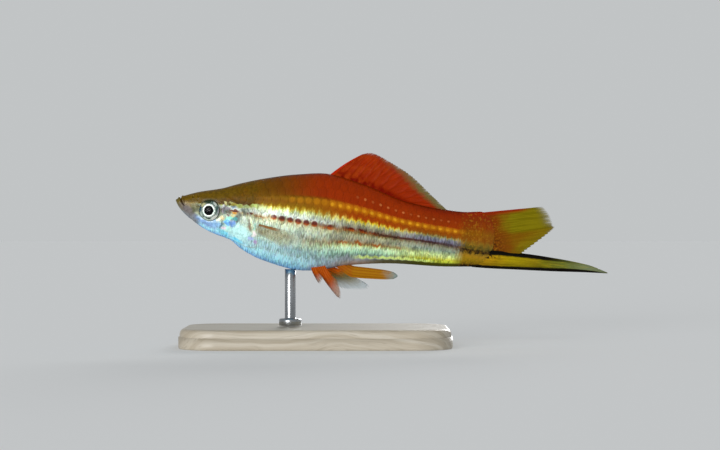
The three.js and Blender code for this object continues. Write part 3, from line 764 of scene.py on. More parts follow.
plate = {
    "length": 3.45 * mm,
    "centre": 0.71,  # where along the plate its uncovered part has its middle
    "widthShare": 0.76,  # half its width, as a share of the distance between rows
    "rootSink": 0.024 * mm,
    "rearLift": 0.03 * mm,
    "thickness": 0.012 * mm,
    "stations": [0, 0.2, 0.45, 0.64, 0.8, 0.92, 0.985],
    "across": [-1, -0.7, -0.35, 0, 0.35, 0.7, 1],
    "lastColumn": 34,
    "step": 0.3,  # how far either side of a root the lie is measured
    "keelBreadth": 1.1 * mm,
    "leastBreadth": 0.9 * mm,
    "sizeSpread": 0.03,  # how much longer or shorter a scale may be
    "seed": 7,
    "front": [  # height, and where scales begin
        (-13, 19.6), (-9.5, 20.45), (-7.1, 20.75), (-5.3, 20.55), (-2.8, 19.55), (-1.2, 18.65), (0.75, 17.4),
        (1.8, 15.8), (3.0, 12.9), (4.3, 10.2), (8, 8.6),
    ],
}


def plateTemplate():  # one scale: rounded behind, narrower where it is rooted
    points, looks, faces, cells = [], [], [], []
    spread = [0.62 + 0.38 * math.sin(min(x / 0.5, 1) * math.pi / 2) if x < 0.5
              else math.sqrt(1 - ((x - 0.5) / 0.5) ** 2) for x in plate["stations"]]
    across, along = len(plate["across"]), len(plate["stations"])
    for top in (1, 0):
        for x, wide in zip(plate["stations"], spread):
            for y in plate["across"]:
                rim = abs(y) == 1 or x in (plate["stations"][0], plate["stations"][-1])
                grow = 1 if top else 1.04  # the underside is a little wider, so that the edge is a bevel
                points.append(((x - plate["centre"]) * grow, y * wide * grow, 0))
                looks.append((x, y * wide, (0.6 if rim else 1) if top else 0))
    rim = list(range(across))
    rim += [i * across + across - 1 for i in range(1, along)]
    rim += [(along - 1) * across + j for j in range(across - 2, -1, -1)]
    rim += [i * across for i in range(along - 2, 0, -1)]

    def cell(index, grow=1.0):
        x, y, _ = looks[index]
        return 0.4 + (x - 0.5) * 0.72 * grow, 0.5 + y * 0.44 * grow

    for i in range(along - 1):
        for j in range(across - 1):
            a = i * across + j
            faces.append((a, a + across, a + across + 1, a + 1))
            cells += [cell(k) for k in faces[-1]]
    other = across * along
    for a, b in zip(rim, rim[1:] + rim[:1]):
        faces.append((a, b, b + other, a + other))
        cells += [cell(a), cell(b), cell(b, 1.1), cell(a, 1.1)]
    faces.append(tuple(k + other for k in reversed(rim)))
    cells += [(0.84 + 0.14 * looks[k][0], 0.5 + looks[k][1] * 0.44) for k in reversed(rim)]
    piece = newMesh("plateTemplate", points, faces)
    onTop = (along - 1) * (across - 1)
    piece.data.polygons.foreach_set("use_smooth", [i < onTop for i in range(len(faces))])
    storeVector(piece, "plate", looks)
    layer = piece.data.attributes.new("cell", "FLOAT2", "CORNER")
    layer.data.foreach_set("vector", np.array(cells, np.float32).ravel())
    return piece


def rootPoint(along, row, side):
    height, breadth = tailShares(along, 0.97)
    middle = widestUp(along)
    up = rowUp(along, row)
    out = flankOut(along, up) * breadth
    return np.array([float(along), side * float(out), float(middle + (up - middle) * height)])


def makeScaleRoots(side, word):  # where each scale grows, how it is turned and how big it is
    points, turns, sizes, seeds, patches = [], [], [], [], []
    draw = np.random.default_rng(plate["seed"] + side)
    edge = int(rows["count"][-2])
    columns = plate["lastColumn"] + 1
    for row in range(-edge - 1, edge + 1):
        keel = row == -edge - 1  # the row along the belly's middle, which the left side's coat carries
        place = -rows["count"][-1] if keel else row
        if keel and side > 0:
            continue
        for column in np.arange(columns) + (0.5 if row % 2 else 0):
            along = columnAt(column)
            if along < np.interp(float(rowUp(along, place)), *zip(*plate["front"])):
                continue
            near = [toWorld(rootPoint(along + step, place, side)) for step in (-plate["step"], plate["step"])]
            above = toWorld(rootPoint(along, min(place + 0.5, edge + 0.45), side))
            below = toWorld(rootPoint(along, max(place - 0.5, -edge - 0.5), side))
            upward = np.array([0, side * plate["keelBreadth"], 0]) if keel else above - below
            lengthwise = Vector(near[1] - near[0]).normalized()
            facing = Vector((0, 0, -1)) if keel else (lengthwise.cross(Vector(upward)) * side).normalized()
            across = facing.cross(lengthwise).normalized()
            basis = np.array([lengthwise, across, lengthwise.cross(across)]).T
            wide = max(np.linalg.norm(upward), plate["leastBreadth"])
            points.append(toWorld(rootPoint(along, place, side)))
            turns.append(tuple(Matrix(basis.tolist()).to_euler()))
            length = plate["length"] * draw.uniform(1 - plate["sizeSpread"], 1 + plate["sizeSpread"])
            sizes.append((length, plate["widthShare"] * wide, 1))
            seeds.append(draw.uniform(0, 1))
            patches.append((column / (columns + 0.5), (row + edge + 1) / (2 * edge + 2), 0))
    piece = newMesh("scaleRoots_" + word, points, [])
    storeVector(piece, "turn", turns)
    storeVector(piece, "size", sizes)
    storeVector(piece, "patch", patches)
    layer = piece.data.attributes.new("seed", "FLOAT", "POINT")
    layer.data.foreach_set("value", seeds)
    return piece, len(points)


def makeScaleTree():
    tree = bpy.data.node_groups.new("scaleRows", "GeometryNodeTree")
    bench = Bench(tree)
    kinds = {"Geometry": "Geometry", "Plate": "Object", "Skin": "Object", "Root Sink": "Float",
             "Rear Lift": "Float", "Thickness": "Float", "Patch Size": "Vector", "Finish": "Material"}
    sockets = {label: tree.interface.new_socket(name=label, in_out="INPUT", socket_type="NodeSocket" + kind)
               for label, kind in kinds.items()}
    tree.interface.new_socket(name="Geometry", in_out="OUTPUT", socket_type="NodeSocketGeometry")
    given = bench.node("NodeGroupInput").outputs

    def made(kind, sources, out=0, **settings):
        return bench.wire(bench.node(kind, **settings), sources, out)

    def named(name):
        return made("GeometryNodeInputNamedAttribute", {"Name": name}, "Attribute", data_type="FLOAT_VECTOR")

    def store(geometry, name, source, kind, domain):
        sources = {"Geometry": geometry, "Name": name, "Value": source}
        return made("GeometryNodeStoreNamedAttribute", sources, data_type=kind, domain=domain)

    plates = made("GeometryNodeObjectInfo", {"Object": given["Plate"]}, "Geometry")
    body = made("GeometryNodeObjectInfo", {"Object": given["Skin"]}, "Geometry")

    def onSkin(name):
        sources = {"Mesh": body, "Value": named(name)}
        return made("GeometryNodeSampleNearestSurface", sources, "Value", data_type="FLOAT_VECTOR")

    turned = bench.fill(bench.node("FunctionNodeEulerToRotation"), named("turn"))
    setOut = made("GeometryNodeInstanceOnPoints", {
        "Points": given["Geometry"], "Instance": plates, "Rotation": turned, "Scale": named("size")})
    real = made("GeometryNodeRealizeInstances", {"Geometry": setOut})
    near = bench.fill(bench.node("GeometryNodeProximity", target_element="FACES"), body, out="Position")
    x, _, top = bench.split(named("plate"))
    lifted = x * bench.maths("GREATER_THAN", top, 0.1) * given["Rear Lift"] + top * given["Thickness"]
    outward = bench.scaled(bench.vector("NORMALIZE", onSkin("skinNormal")), lifted - given["Root Sink"])
    laid = made("GeometryNodeSetPosition", {"Geometry": real, "Position": bench.vector("ADD", near, outward)})
    laid = store(laid, "lie", onSkin("lie"), "FLOAT_VECTOR", "POINT")
    patch = bench.vector("MULTIPLY_ADD", named("cell"), given["Patch Size"], named("patch"))
    mapped = store(laid, "OFBake", patch, "FLOAT2", "CORNER")
    finished = made("GeometryNodeSetMaterial", {"Geometry": mapped, "Material": given["Finish"]})
    bench.feed(bench.node("NodeGroupOutput").inputs[0], finished)
    return tree, sockets


def makeScales(skinPiece, finish):
    tree, sockets = makeScaleTree()
    shape = plateTemplate()
    patchSize = (1 / (plate["lastColumn"] + 1.5), 1 / (2 * int(rows["count"][-2]) + 2), 0)
    settings = {"Plate": shape, "Skin": skinPiece, "Root Sink": plate["rootSink"],
                "Rear Lift": plate["rearLift"], "Thickness": plate["thickness"], "Patch Size": patchSize,
                "Finish": finish}
    made = []
    for side, word in ((-1, "left"), (1, "right")):
        roots, count = makeScaleRoots(side, word)
        layer = roots.modifiers.new("scaleRows", "NODES")
        layer.node_group = tree
        for label, setting in settings.items():
            layer[sockets[label].identifier] = setting
        view = bpy.context.evaluated_depsgraph_get()
        evaluated = roots.evaluated_get(view)
        mesh = bpy.data.meshes.new_from_object(evaluated, preserve_all_data_layers=True, depsgraph=view)
        mesh.name = "scales_" + word
        piece = bpy.data.objects.new("scales_" + word, mesh)
        bpy.context.scene.collection.objects.link(piece)
        bpy.data.objects.remove(roots)
        made.append(piece)
        print("scales", word, count, "plates,", len(mesh.polygons), "faces")
    bpy.data.objects.remove(shape)
    return made


def marked(bench, markings, seed):  # the shared markings, as one material reads them
    group = bench.node("ShaderNodeGroup", node_tree=markings)
    bench.wire(group, {"Lie": bench.attribute("lie"), "Place": bench.objectPlace(), "Seed": seed})
    return [Reading(bench, socket) for socket in group.outputs]


def makeCoatFinish(markings):
    finish, bench, shader = newMaterial("scaleSheen", {
        "Roughness": 0.36, "Specular IOR Level": 0.07, "Coat Weight": 0.03, "Coat Roughness": 0.15})
    colour, silver, grit = marked(bench, markings, bench.attribute("seed", "Fac"))
    x, y, _ = bench.split(bench.attribute("plate"))
    reach = bench.length(bench.join(x * 2 - 1, y))
    colour = bench.mix(bench.fade(reach, 0.8, 0.97) * 0.04, colour, "3a2412", "MULTIPLY")
    bench.wire(shader, {"Base Color": colour, "Metallic": silver * 0.2})
    bench.emboss(shader, bench.maths("SINE", reach * 34) + grit, 0.08, 0.03)  # the growth rings of each scale
    return finish


def makeSkinFinish(markings):
    finish, bench, shader = newMaterial("wetSkin", {
        "Roughness": 0.36, "Specular IOR Level": 0.1, "Coat Weight": 0.05, "Coat Roughness": 0.14})
    colour, silver, grit = marked(bench, markings, 0.5)
    slit, slot, edge = bench.split(bench.attribute("relief"))
    # painted shade in the mouth's slit and the gill slot, and a pale line along the gill cover's edge
    for mask, code in ((slit, "3c1a06"), (slot * 0.8, "4c4038"), (edge * 0.5, "e6f2e2")):
        colour = bench.mix(mask, colour, code)
    bench.wire(shader, {"Base Color": colour, "Metallic": silver * 0.15})
    bench.emboss(shader, grit, 0.25, 0.05)
    return finish


# Fins, each one closed sheet whose rays split towards the margin

finMake = {
    "membraneHalf": 0.05,
    "marginHalf": 0.025,
    "rayHeight": 0.13,
    "rayBreadth": 0.17,  # of the distance between rays
    "splits": [(0.38, 0.25), (0.68, 0.125)],  # where rays split, and how far apart their branches run
    "perRay": 18,
    "fringe": 0.15,
    "jointStep": 0.42,  # between the joints along a ray
}


finLines = {  # where the fins start and end, seen from the side
    "dorsalRoot": (34.0, 54.5),
    "dorsalEdge": [(41, 16.5), (43.4, 17.08), (47, 15.9), (52.8, 13.2), (58.1, 9.4), (62.1, 6.5)],
    "tailStart": 69.6,
    "caudalEdge": [(80.6, -1.1), (86.9, 5.3), (86.9, 6.4), (86.4, 7.6), (85.5, 9), (84, 10.35)],
    "swordEnd": 100.95,
    "swordUpper": [(70, -1.65), (76, -1.15), (83, -0.95), (90, -1.1), (96, -1.5), (101, -2.65)],
    "swordLower": [(70, -5.7), (73, -5.52), (79.5, -4.93), (88, -4.15), (96, -3.3), (101, -2.85)],
    "pectoralRoot": (20, -3.8, 1.1),  # along, up and half its height
    "pectoralEdge": [(25.8, -7.5), (28.4, -7.2), (30, -6.2), (30.4, -4.9), (29.6, -3.6)],
    "pelvicRoot": ((33, -10.8), (35.8, -9.6)),
    "pelvicEdge": {
        "Left": [(34.2, -12.9), (35.5, -14.4), (36.4, -13.2), (38.3, -15.2), (40.5, -17.1), (40.6, -15.6),
                 (39.6, -13.2)],
        "Right": [(38, -14.6), (42, -14.9), (46, -14.4), (47, -13.6), (46, -12.9)],
    },
    "pelvicSplay": {"Left": 1.8, "Right": 2.04},
    "gonopodiumSpan": (37.2, 52.97),
    "gonopodiumUpper": [(37, -9.3), (40, -9.3), (49, -9.15), (51.8, -9.35), (53, -10)],
    "gonopodiumLower": [(37, -11.6), (42, -11.9), (49, -11.45), (52, -11), (53, -10.3)],
    "gonopodiumHalf": (0.16, 0.34),  # half its width above and below, and what its middle has more
    "gonopodiumMesh": (120, 64),
}


def splineAt(points):  # a smooth curve of side-view points, read at shares from 0 to 1
    pts = np.array(points, float)

    def at(share):
        place = np.clip(np.asarray(share, float), 0, 1) * (len(pts) - 1)
        i = np.minimum(place.astype(int), len(pts) - 2)
        t = (place - i)[..., None]
        p0, p1 = pts[np.maximum(i - 1, 0)], pts[i]
        p2, p3 = pts[i + 1], pts[np.minimum(i + 2, len(pts) - 1)]
        a, b = (p2 - p0) / 2, (p3 - p1) / 2
        return (2 * p1 - 2 * p2 + a + b) * t**3 + (3 * p2 - 3 * p1 - 2 * a - b) * t**2 + a * t + p1

    return at


def rayRidge(u, v, rays):  # how near a place is to the middle of a ray or of one of its branches
    phase = v * rays - np.floor(v * rays) - 0.5
    apart = np.zeros_like(u)
    centres = np.abs(phase)
    for start, spread in finMake["splits"]:
        apart = spread * smooth(u, start, start + 0.3)
        centres = np.abs(centres - apart)
    breadth = finMake["rayBreadth"] * lerp(1.0, 0.42, u)
    return np.exp(-((centres / breadth) ** 2))


def makeFin(name, root, margin, out, rays, rows, rootHalf=0.3, bend=0.0, growth=1.0, fringe=None, body=None):
    fringe = finMake["fringe"] if fringe is None else fringe
    columns = rays * finMake["perRay"] + 1
    u, v = np.meshgrid(np.linspace(0, 1, rows + 1), np.linspace(0, 1, columns), indexing="ij")
    ridge = rayRidge(u, v, rays)
    a, b = root(v), margin(v)
    run = b - a
    length = np.linalg.norm(run, axis=2)
    reach = u * (1 - fringe * (1 - ridge) * u**3 / length)
    sag = bend * length * np.sin(math.pi * u)
    along = a[..., 0] + run[..., 0] * reach - run[..., 1] / length * sag
    up = a[..., 1] + run[..., 1] * reach + run[..., 0] / length * sag
    if body:
        along, up = body(along, up, u, v)
    thin = lerp(finMake["membraneHalf"], finMake["marginHalf"], u) * growth
    ray = finMake["rayHeight"] * growth * ridge * (1 - 0.75 * u)
    thick = lerp(rootHalf, 0.0, smooth(u, 0, 0.3)) + thin + ray
    middle = out(u, v)
    points = np.stack([np.stack([along, middle + half, up], -1) for half in (-thick, thick)]).reshape(-1, 3)
    count = len(points) // 2
    i, j = np.meshgrid(np.arange(rows), np.arange(columns - 1), indexing="ij")
    first = (i * columns + j).ravel()
    quad = np.stack([first, first + 1, first + columns + 1, first + columns], -1)
    rim = list(range(columns - 1)) + [k * columns + columns - 1 for k in range(rows)]
    rim += [rows * columns + k for k in range(columns - 1, 0, -1)] + [k * columns for k in range(rows, 0, -1)]
    edges = [(p, p + count, q + count, q) for p, q in zip(rim, rim[1:] + rim[:1])]
    piece = closedMesh(name, points, quad.tolist() + (quad[:, ::-1] + count).tolist() + edges)
    for layer, values in (("fin", (u, v, ridge)), ("lie", (along, up, u * length))):
        storeVector(piece, layer, np.tile(np.stack(values, -1).reshape(-1, 3), (2, 1)))
    storeFinMap(piece, u.ravel(), v.ravel(), count)
    return piece


def storeFinMap(piece, u, v, count):  # the two faces side by side, and the rim in a strip of its own
    total = len(piece.data.polygons)
    corner = np.empty(total * 4, np.int32)
    piece.data.loops.foreach_get("vertex_index", corner)
    far = corner >= count
    mixed = far.reshape(-1, 4).any(1) & ~far.reshape(-1, 4).all(1)
    onRim = np.repeat(mixed, 4)
    order = np.repeat(np.cumsum(mixed) - 1, 4) / mixed.sum()
    step = np.tile([0, 0, 1, 1], total) / mixed.sum()
    place = np.where(far, corner - count, corner)
    across = np.where(onRim, 0.01 + 0.97 * (order + step), 0.01 + 0.47 * v[place] + 0.5 * far)
    lengthwise = np.where(onRim, 0.95 + 0.03 * far, 0.02 + 0.9 * u[place])
    layer = piece.data.uv_layers.new(name="OFBake")
    layer.data.foreach_set("uv", np.stack([across, lengthwise], -1).astype(np.float32).ravel())


def sideways(along, up):  # a pair of side-view values as the fins read them
    return np.stack([along, up], -1)


def makeFins():
    made = {}
    tail, swordEnd = finLines["tailStart"], finLines["swordEnd"]
    swordUpper, swordLower = curveThrough(finLines["swordUpper"]), curveThrough(finLines["swordLower"])

    def add(name, *shape, **settings):
        made[name] = makeFin(name, *shape, **settings)

    def dorsalRoot(v):
        along = lerp(*finLines["dorsalRoot"], v)
        return sideways(along, backUp(along) - 0.6)

    def caudalRoot(v):
        return sideways(tail + 0 * v, lerp(float(swordUpper(70)) - 0.3, float(backUp(70)) - 0.45, v))

    def onSword(along, up, u, v):
        along = lerp(tail, swordEnd, u)
        return along, lerp(swordLower(along), swordUpper(along), v)

    add("dorsalFin", dorsalRoot, splineAt(finLines["dorsalEdge"]),
        lambda u, v: 0.5 * u * u * np.sin(5 * v + 0.6), rays=12, rows=60, rootHalf=0.45, bend=0.03,
        body=lambda along, up, u, v: (along, up - 0.4 * v**8 * np.sin(math.pi * u)))
    add("caudalFin", caudalRoot, splineAt(finLines["caudalEdge"]),
        lambda u, v: 0.45 * u * u * np.sin(4 * v - 0.3), rays=13, rows=60, rootHalf=0.35, fringe=0.5)
    add("sword", lambda v: sideways(tail + 0 * v, v - 3), lambda v: sideways(swordEnd + 0 * v, v - 3),
        lambda u, v: 0 * u, rays=6, rows=160, rootHalf=0.35, growth=1.3, body=onSword)
    for side, word in ((-1, "Left"), (1, "Right")):
        along, up, half = finLines["pectoralRoot"]
        start = float(flankOut(20.45, -3.8)) - 0.2
        add("pectoralFin" + word, lambda v: sideways(along + 0 * v, up + lerp(-half, half, v)),
            splineAt(finLines["pectoralEdge"]),
            lambda u, v: side * (start + 10.4 * (0.34 * u - 0.08 * u * u) - 0.6 * (1 - v) * u),
            rays=11, rows=44, rootHalf=0.3, growth=0.7)
        (a0, u0), (a1, u1) = finLines["pelvicRoot"]
        near = side < 0
        add("pelvicFin" + word, lambda v: sideways(lerp(a0, a1, v), lerp(u0, u1, v)),
            splineAt(finLines["pelvicEdge"][word]),
            lambda u, v: side * (1.5 + finLines["pelvicSplay"][word] * u), rays=8 if near else 6, rows=44,
            rootHalf=0.3, bend=-0.06 if near else 0.03, fringe=0.8)
    made["gonopodium"] = makeGonopodium()
    return made


def makeGonopodium():  # the male's rod-like anal fin, laid back under the tail
    upper, lower = curveThrough(finLines["gonopodiumUpper"]), curveThrough(finLines["gonopodiumLower"])
    rows, around = finLines["gonopodiumMesh"]
    least, more = finLines["gonopodiumHalf"]
    u, turn = np.meshgrid(np.linspace(0, 1, rows + 1), np.arange(around) / around, indexing="ij")
    along = lerp(*finLines["gonopodiumSpan"], 1 - (1 - u) ** 1.4)
    v = (np.sin(turn * 2 * math.pi) + 1) / 2
    across = np.cos(turn * 2 * math.pi)
    ridge = np.clip(np.cos(v * 2 * math.pi * 4.5), 0, 1) * (1 - smooth(u, 0.75, 0.95))
    out = across * (least + more * across**2) * (1 - 0.5 * u) * 1.5 + np.sign(across) * 0.1 * ridge
    up = lerp(lower(along), upper(along), v) + 1.9 * (1 - smooth(u, 0, 0.28))
    grid = np.stack([along, out, up], -1)
    points = np.concatenate([grid.reshape(-1, 3), grid[[0, -1]].mean(1)])
    piece = closedMesh("gonopodium", points, ringFaces(rows + 1, around) + tipFaces(rows + 1, around))
    look = np.stack([u, v, ridge], -1).reshape(-1, 3)
    storeVector(piece, "fin", np.concatenate([look, [[0, 0.5, 0], [1, 0.5, 0]]]))
    storeVector(piece, "lie", points[:, [0, 2, 1]])
    return piece


finLooks = {  # colours of root, middle, margin and rays, then how solid root, margin and rays are
    "dorsalFin": ("720c00", "902601", "6a5a10", "842000", 1.0, 0.75, 1.0),
    "pectoralFinLeft": ("b8a070", "c4c0a0", "b4c8cc", "b08438", 0.12, 0.04, 0.34),
    "pectoralFinRight": ("b8a070", "c4c0a0", "b4c8cc", "b08438", 0.12, 0.04, 0.34),
    "pelvicFinLeft": ("b45412", "b05008", "96602a", "a43e04", 0.97, 0.4, 0.95),
    "pelvicFinRight": ("f87010", "747018", "a9bcc2", "806014", 0.95, 0.3, 0.7),
    # the far pelvic fin's root is painted light: brighter, to make up for the shade the body casts on it
    "gonopodium": ("a84e12", "a8720e", "8c9c98", "985010", 1.0, 0.95, 1.0),
}


def finBase(name):  # what the finishes of all fins start from
    finish, bench, shader = newMaterial(name, {"Roughness": 0.42, "Specular IOR Level": 0.04})
    u, v, ridge = bench.split(bench.attribute("fin"))
    along, _, length = bench.split(bench.attribute("lie"))
    place = bench.scaled(bench.objectPlace(), 1000)
    joints = bench.maths("SINE", length * (2 * math.pi / finMake["jointStep"]))
    bench.emboss(shader, joints * ridge, 0.15, 0.04)
    return finish, bench, shader, (u, v, ridge, along, bench.noise(place, 0.7, 3), place)


def frayed(bench, u, v, solid, filaments, start):  # a margin that thins out into fine filaments
    threads = bench.noise(bench.join(v * filaments, u * 1.5), 1, 2)
    return solid * bench.fade((threads - 0.5) * 0.3 + u - start, 0, 0.14, 1.0, 0.3)


def makeFinFinish(name):
    rootTint, middleTint, marginTint, rayTint, rootSolid, marginSolid, raySolid = finLooks[name]
    finish, bench, shader, (u, v, ridge, _, cloud, _) = finBase(name + "Web")
    fade, mix = bench.fade, bench.mix
    reach = (cloud - 0.5) * 0.3 + u
    # painted light: the far pelvic fin's bright root reaches further out, against the body's shade
    rooted = (0.25, 0.55) if name == "pelvicFinRight" else (0.05, 0.3)
    colour = mix(fade(reach, *rooted), rootTint, middleTint)
    rays = ridge * fade(u, 1.1, 0.5, 0.2, 0.7)
    solid = fade(u, 0.3, 0.95, rootSolid, marginSolid)
    if name == "dorsalFin":
        behind = fade(v, 0.2, 0.8)
        colour = mix(fade(cloud, 0.4, 0.65) * fade(v, 0.7, 0.2), colour, "9c3404")
        colour = mix(rays * 0.5, colour, rayTint)
        edge = behind * -0.24 + 0.9
        outer = bench.maths("DIVIDE", reach - edge, 0.22, clamp=True)
        colour = mix(outer * (behind * 0.75 + 0.25), colour, marginTint)
        colour = mix(fade(v, 0.06, 0.02), colour, "b02404")
        streaks = bench.noise(bench.join(v * 44, u * 2), 1, 2)
        colour = mix(fade(streaks, 0.48, 0.66) * fade(u, 0.15, 0.45) * (1 - outer) * 0.45, colour, "ac3000")
        solid = fade(u - edge, -0.1, 0.26, rootSolid, marginSolid)
    else:
        colour = mix(rays, colour, rayTint)
        colour = mix(fade(reach, 0.62, 0.95), colour, marginTint)
    if name.startswith("pectoral"):
        leading = fade(v, 0.74, 0.84) * fade(u, 0.6, 0.3)
        colour = mix(leading, colour, "a0703c")
        colour = mix(fade(v, 0.14, 0.04), colour, "a4bccc")
        solid = solid | leading * 0.75
    webbed = solid | ridge * fade(u, 0.4, 1.0, raySolid, raySolid * 0.6)
    if name != "gonopodium":
        webbed = frayed(bench, u, v, webbed, 60 if name == "dorsalFin" else 26, 0.93)
    bench.wire(shader, {"Base Color": colour, "Alpha": webbed})
    return finish


def makeCaudalFinish():
    finish, bench, shader, (u, v, ridge, along, cloud, place) = finBase("caudalFinWeb")
    fade, mix = bench.fade, bench.mix
    streaks = bench.noise(bench.join(v * 22, u * 2), 1, 2)
    olive = mix(fade(streaks, 0.35, 0.65), "726802", "84780a")
    base = mix(fade(v, 0.15, 0.8), "783e04", "7e3404")
    low, high = fade(v, 0.15, 0.5, 76.5, 72.5), fade(v, 0.15, 0.5, 82, 78)
    colour = mix(fade((cloud - 0.5) * 4 + along, low, high), base, olive)
    wedge = bench.band(v, 0.2, 0.05, 0.12) * fade(along, 75, 78) * fade(along, 86, 80, 0.3, 0.8)
    colour = mix(wedge, colour, "7c5002")
    colour = mix(fade(v, 0.86, 0.97) * fade(along, 82, 78), colour, "902404")
    grains = bench.noise(place, 2.2, 2)
    gilded = fade(grains, 0.55, 0.63) * fade(along, 77.5, 73) * fade(v, 0.92, 0.7)
    colour = mix(gilded * 0.5, colour, marks["gilt"])
    colour = mix(ridge * 0.16, colour, "5c4608")
    colour = mix(fade(v, 0.4, 0.2) * fade(along, 74, 71) * 0.6, colour, "6e5220")
    dark = fade(grains, 0.52, 0.44) * fade(along, 78, 72) * fade(v, 0.28, 0.12)
    colour = mix(dark * 0.85, colour, marks["mottles"])
    solid = fade(u, 0.8, 1.0, 0.98, fade(v, 0.25, 0.6, 0.9, 0.5))
    webbed = ridge * 0.5 * (1 - solid) + solid
    bench.wire(shader, {
        "Base Color": colour, "Alpha": frayed(bench, u, v, webbed, 46, fade(v, 0.2, 0.6, 0.97, 0.9))})
    return finish


def makeSwordFinish():
    finish, bench, shader, (_, v, _, along, cloud, place) = finBase("swordBand")
    fade, mix = bench.fade, bench.mix
    colour = bench.ramp(fade(along, 70, 101), [
        (0.0, "b08012"), (0.09, "ac8c0c"), (0.18, "a08c08"), (0.3, "968408"), (0.43, "86740c"),
        (0.54, "727014"), (0.75, "6a7430"), (1.0, "7c8868")])
    streak = bench.noise(bench.join(along * 0.35, v * 9), 1, 2)
    colour = mix(fade(streak, 0.5, 0.7) * 0.3, colour, "c4a41c")
    colour = mix(fade(streak, 0.48, 0.36) * 0.35, colour, "6c5208")
    colour = mix(fade(v, 0.5, 0.25) * fade(along, 92, 84) * 0.4, colour, "4e4a06")
    grains = bench.noise(place, 1.6, 2)
    colour = mix(fade(grains, 0.5, 0.6) * fade(along, 77, 73) * fade(v, 0.45, 0.6), colour, "2c1e0a")
    wave = (cloud - 0.5) * 0.08 + v
    top = fade(wave - fade(along, 84, 99, 0.73, 0.86), -0.02, 0.06) * fade(along, 96, 86, 0.2, 1.0)
    bottom = fade(wave - fade(along, 76, 98, 0.17, 0.32), 0.03, -0.05) * fade(along, 100.5, 98, 0.5, 1.0)
    bench.wire(shader, {"Base Color": mix(top | bottom, colour, "0f0c08")})
    return finish


# Eyes

eyeMake = {
    "radius": 2.42,
    "depth": 1.34,
    "pupil": 1.06,
    "ring": 1.62,
    "segments": 72,
    "corneaThickness": 0.06,
    "rim": [(1.95, 0.57), (2.12, 0.47), (2.25, 0.38), (2.33, 0.3), (2.4, 0.12)],  # reach and height
}
eyePaint = [  # patches on the outer part of the iris: centre rearward and up, then as on the head
    ((-1.55, 1.2), (0.42, 0.75), "dcd9a0", 0.95, -50),
    ((-0.5, 2.0), (1.0, 0.42), "26381c", 0.95, 12),
    ((1.35, 1.55), (0.85, 0.24), "dfe8dc", 0.95, -45),
    ((1.85, 0.75), (0.26, 0.7), "4c6c64", 0.95, 10, 0.5),
    ((2.2, 0.1), (0.2, 0.8), "b4b4b8", 0.95, 0, 0.5),
    ((1.45, -1.5), (0.95, 0.42), "f4f8ec", 0.95, 42),
    ((-0.4, -2.0), (1.3, 0.26), "cfe4d4", 0.95, -10),
    ((0.1, -1.75), (0.6, 0.16), "38483a", 0.95),
    ((-1.85, -1.05), (0.36, 0.8), "c8dccc", 0.95, 28),
    ((-2.2, 0.15), (0.3, 0.8), "34607c", 0.95, 0, 0.5),
]


def eyeFrame(side):  # the eyeball's middle, the way it faces and the two ways across it
    turn = fish["eyeTurn"]
    middle = np.array([eyeAlong, side * fish["eyeOut"], eyeUp])
    facing = np.array([-math.sin(turn), side * math.cos(turn), 0])
    rearward = np.array([math.cos(turn), side * math.sin(turn), 0])
    return middle, facing, rearward, np.array([0, 0, 1.0])


def turnedShape(name, side, profile):  # a profile of reach and height turned round the eye's axis
    middle, facing, rearward, upward = eyeFrame(side)
    count = eyeMake["segments"]
    turn = np.arange(count) / count * 2 * math.pi
    ring = np.cos(turn)[:, None] * rearward + np.sin(turn)[:, None] * upward
    points = [middle + facing * height + reach * ring for reach, height in profile[1:-1]]
    looks = [np.stack([np.cos(turn) * reach, np.sin(turn) * reach, 0 * turn + height], -1)
             for reach, height in profile[1:-1]]
    ends = [profile[0][1], profile[-1][1]]
    tips = [middle + facing * height for height in ends]
    faces = ringFaces(len(points), count) + tipFaces(len(points), count)
    piece = closedMesh(name, np.concatenate([*points, tips]), faces)
    storeVector(piece, "eye", np.concatenate([*looks, [[0, 0, height] for height in ends]]))
    return piece


def dome(reach, depth):
    return depth * math.sqrt(max(1 - (reach / eyeMake["radius"]) ** 2, 0))


def makeEyes():
    depth, pupil, ring, thick = (eyeMake[name] for name in ("depth", "pupil", "ring", "corneaThickness"))
    ball = [(0, 1.12)]
    ball += [(r, 0.86 + 0.26 * math.sqrt(1 - (r / pupil) ** 2)) for r in np.linspace(0.12, pupil * 0.985, 9)]
    ball += [(pupil, 0.8), (pupil + 0.05, 0.84), (1.3, 0.85), (1.5, 0.8), (ring, 0.72), (ring + 0.08, 0.66)]
    ball += eyeMake["rim"] + [(r, -dome(r, depth) * 0.9) for r in (2.38, 2.2, 1.8, 1.2, 0.6)]
    ball.append((0, -depth * 0.9))
    clear = [(0, depth)] + [(r, dome(r, depth)) for r in np.linspace(0.15, 2.36, 22)]
    clear += [(r, dome(r, depth) - thick) for r in (2.36, *np.linspace(2.3, 0.2, 14))] + [(0, depth - thick)]
    return [(turnedShape("eyeball" + word, side, ball), turnedShape("cornea" + word, side, clear),
             "eye_" + word.lower()) for side, word in ((-1, "Left"), (1, "Right"))]


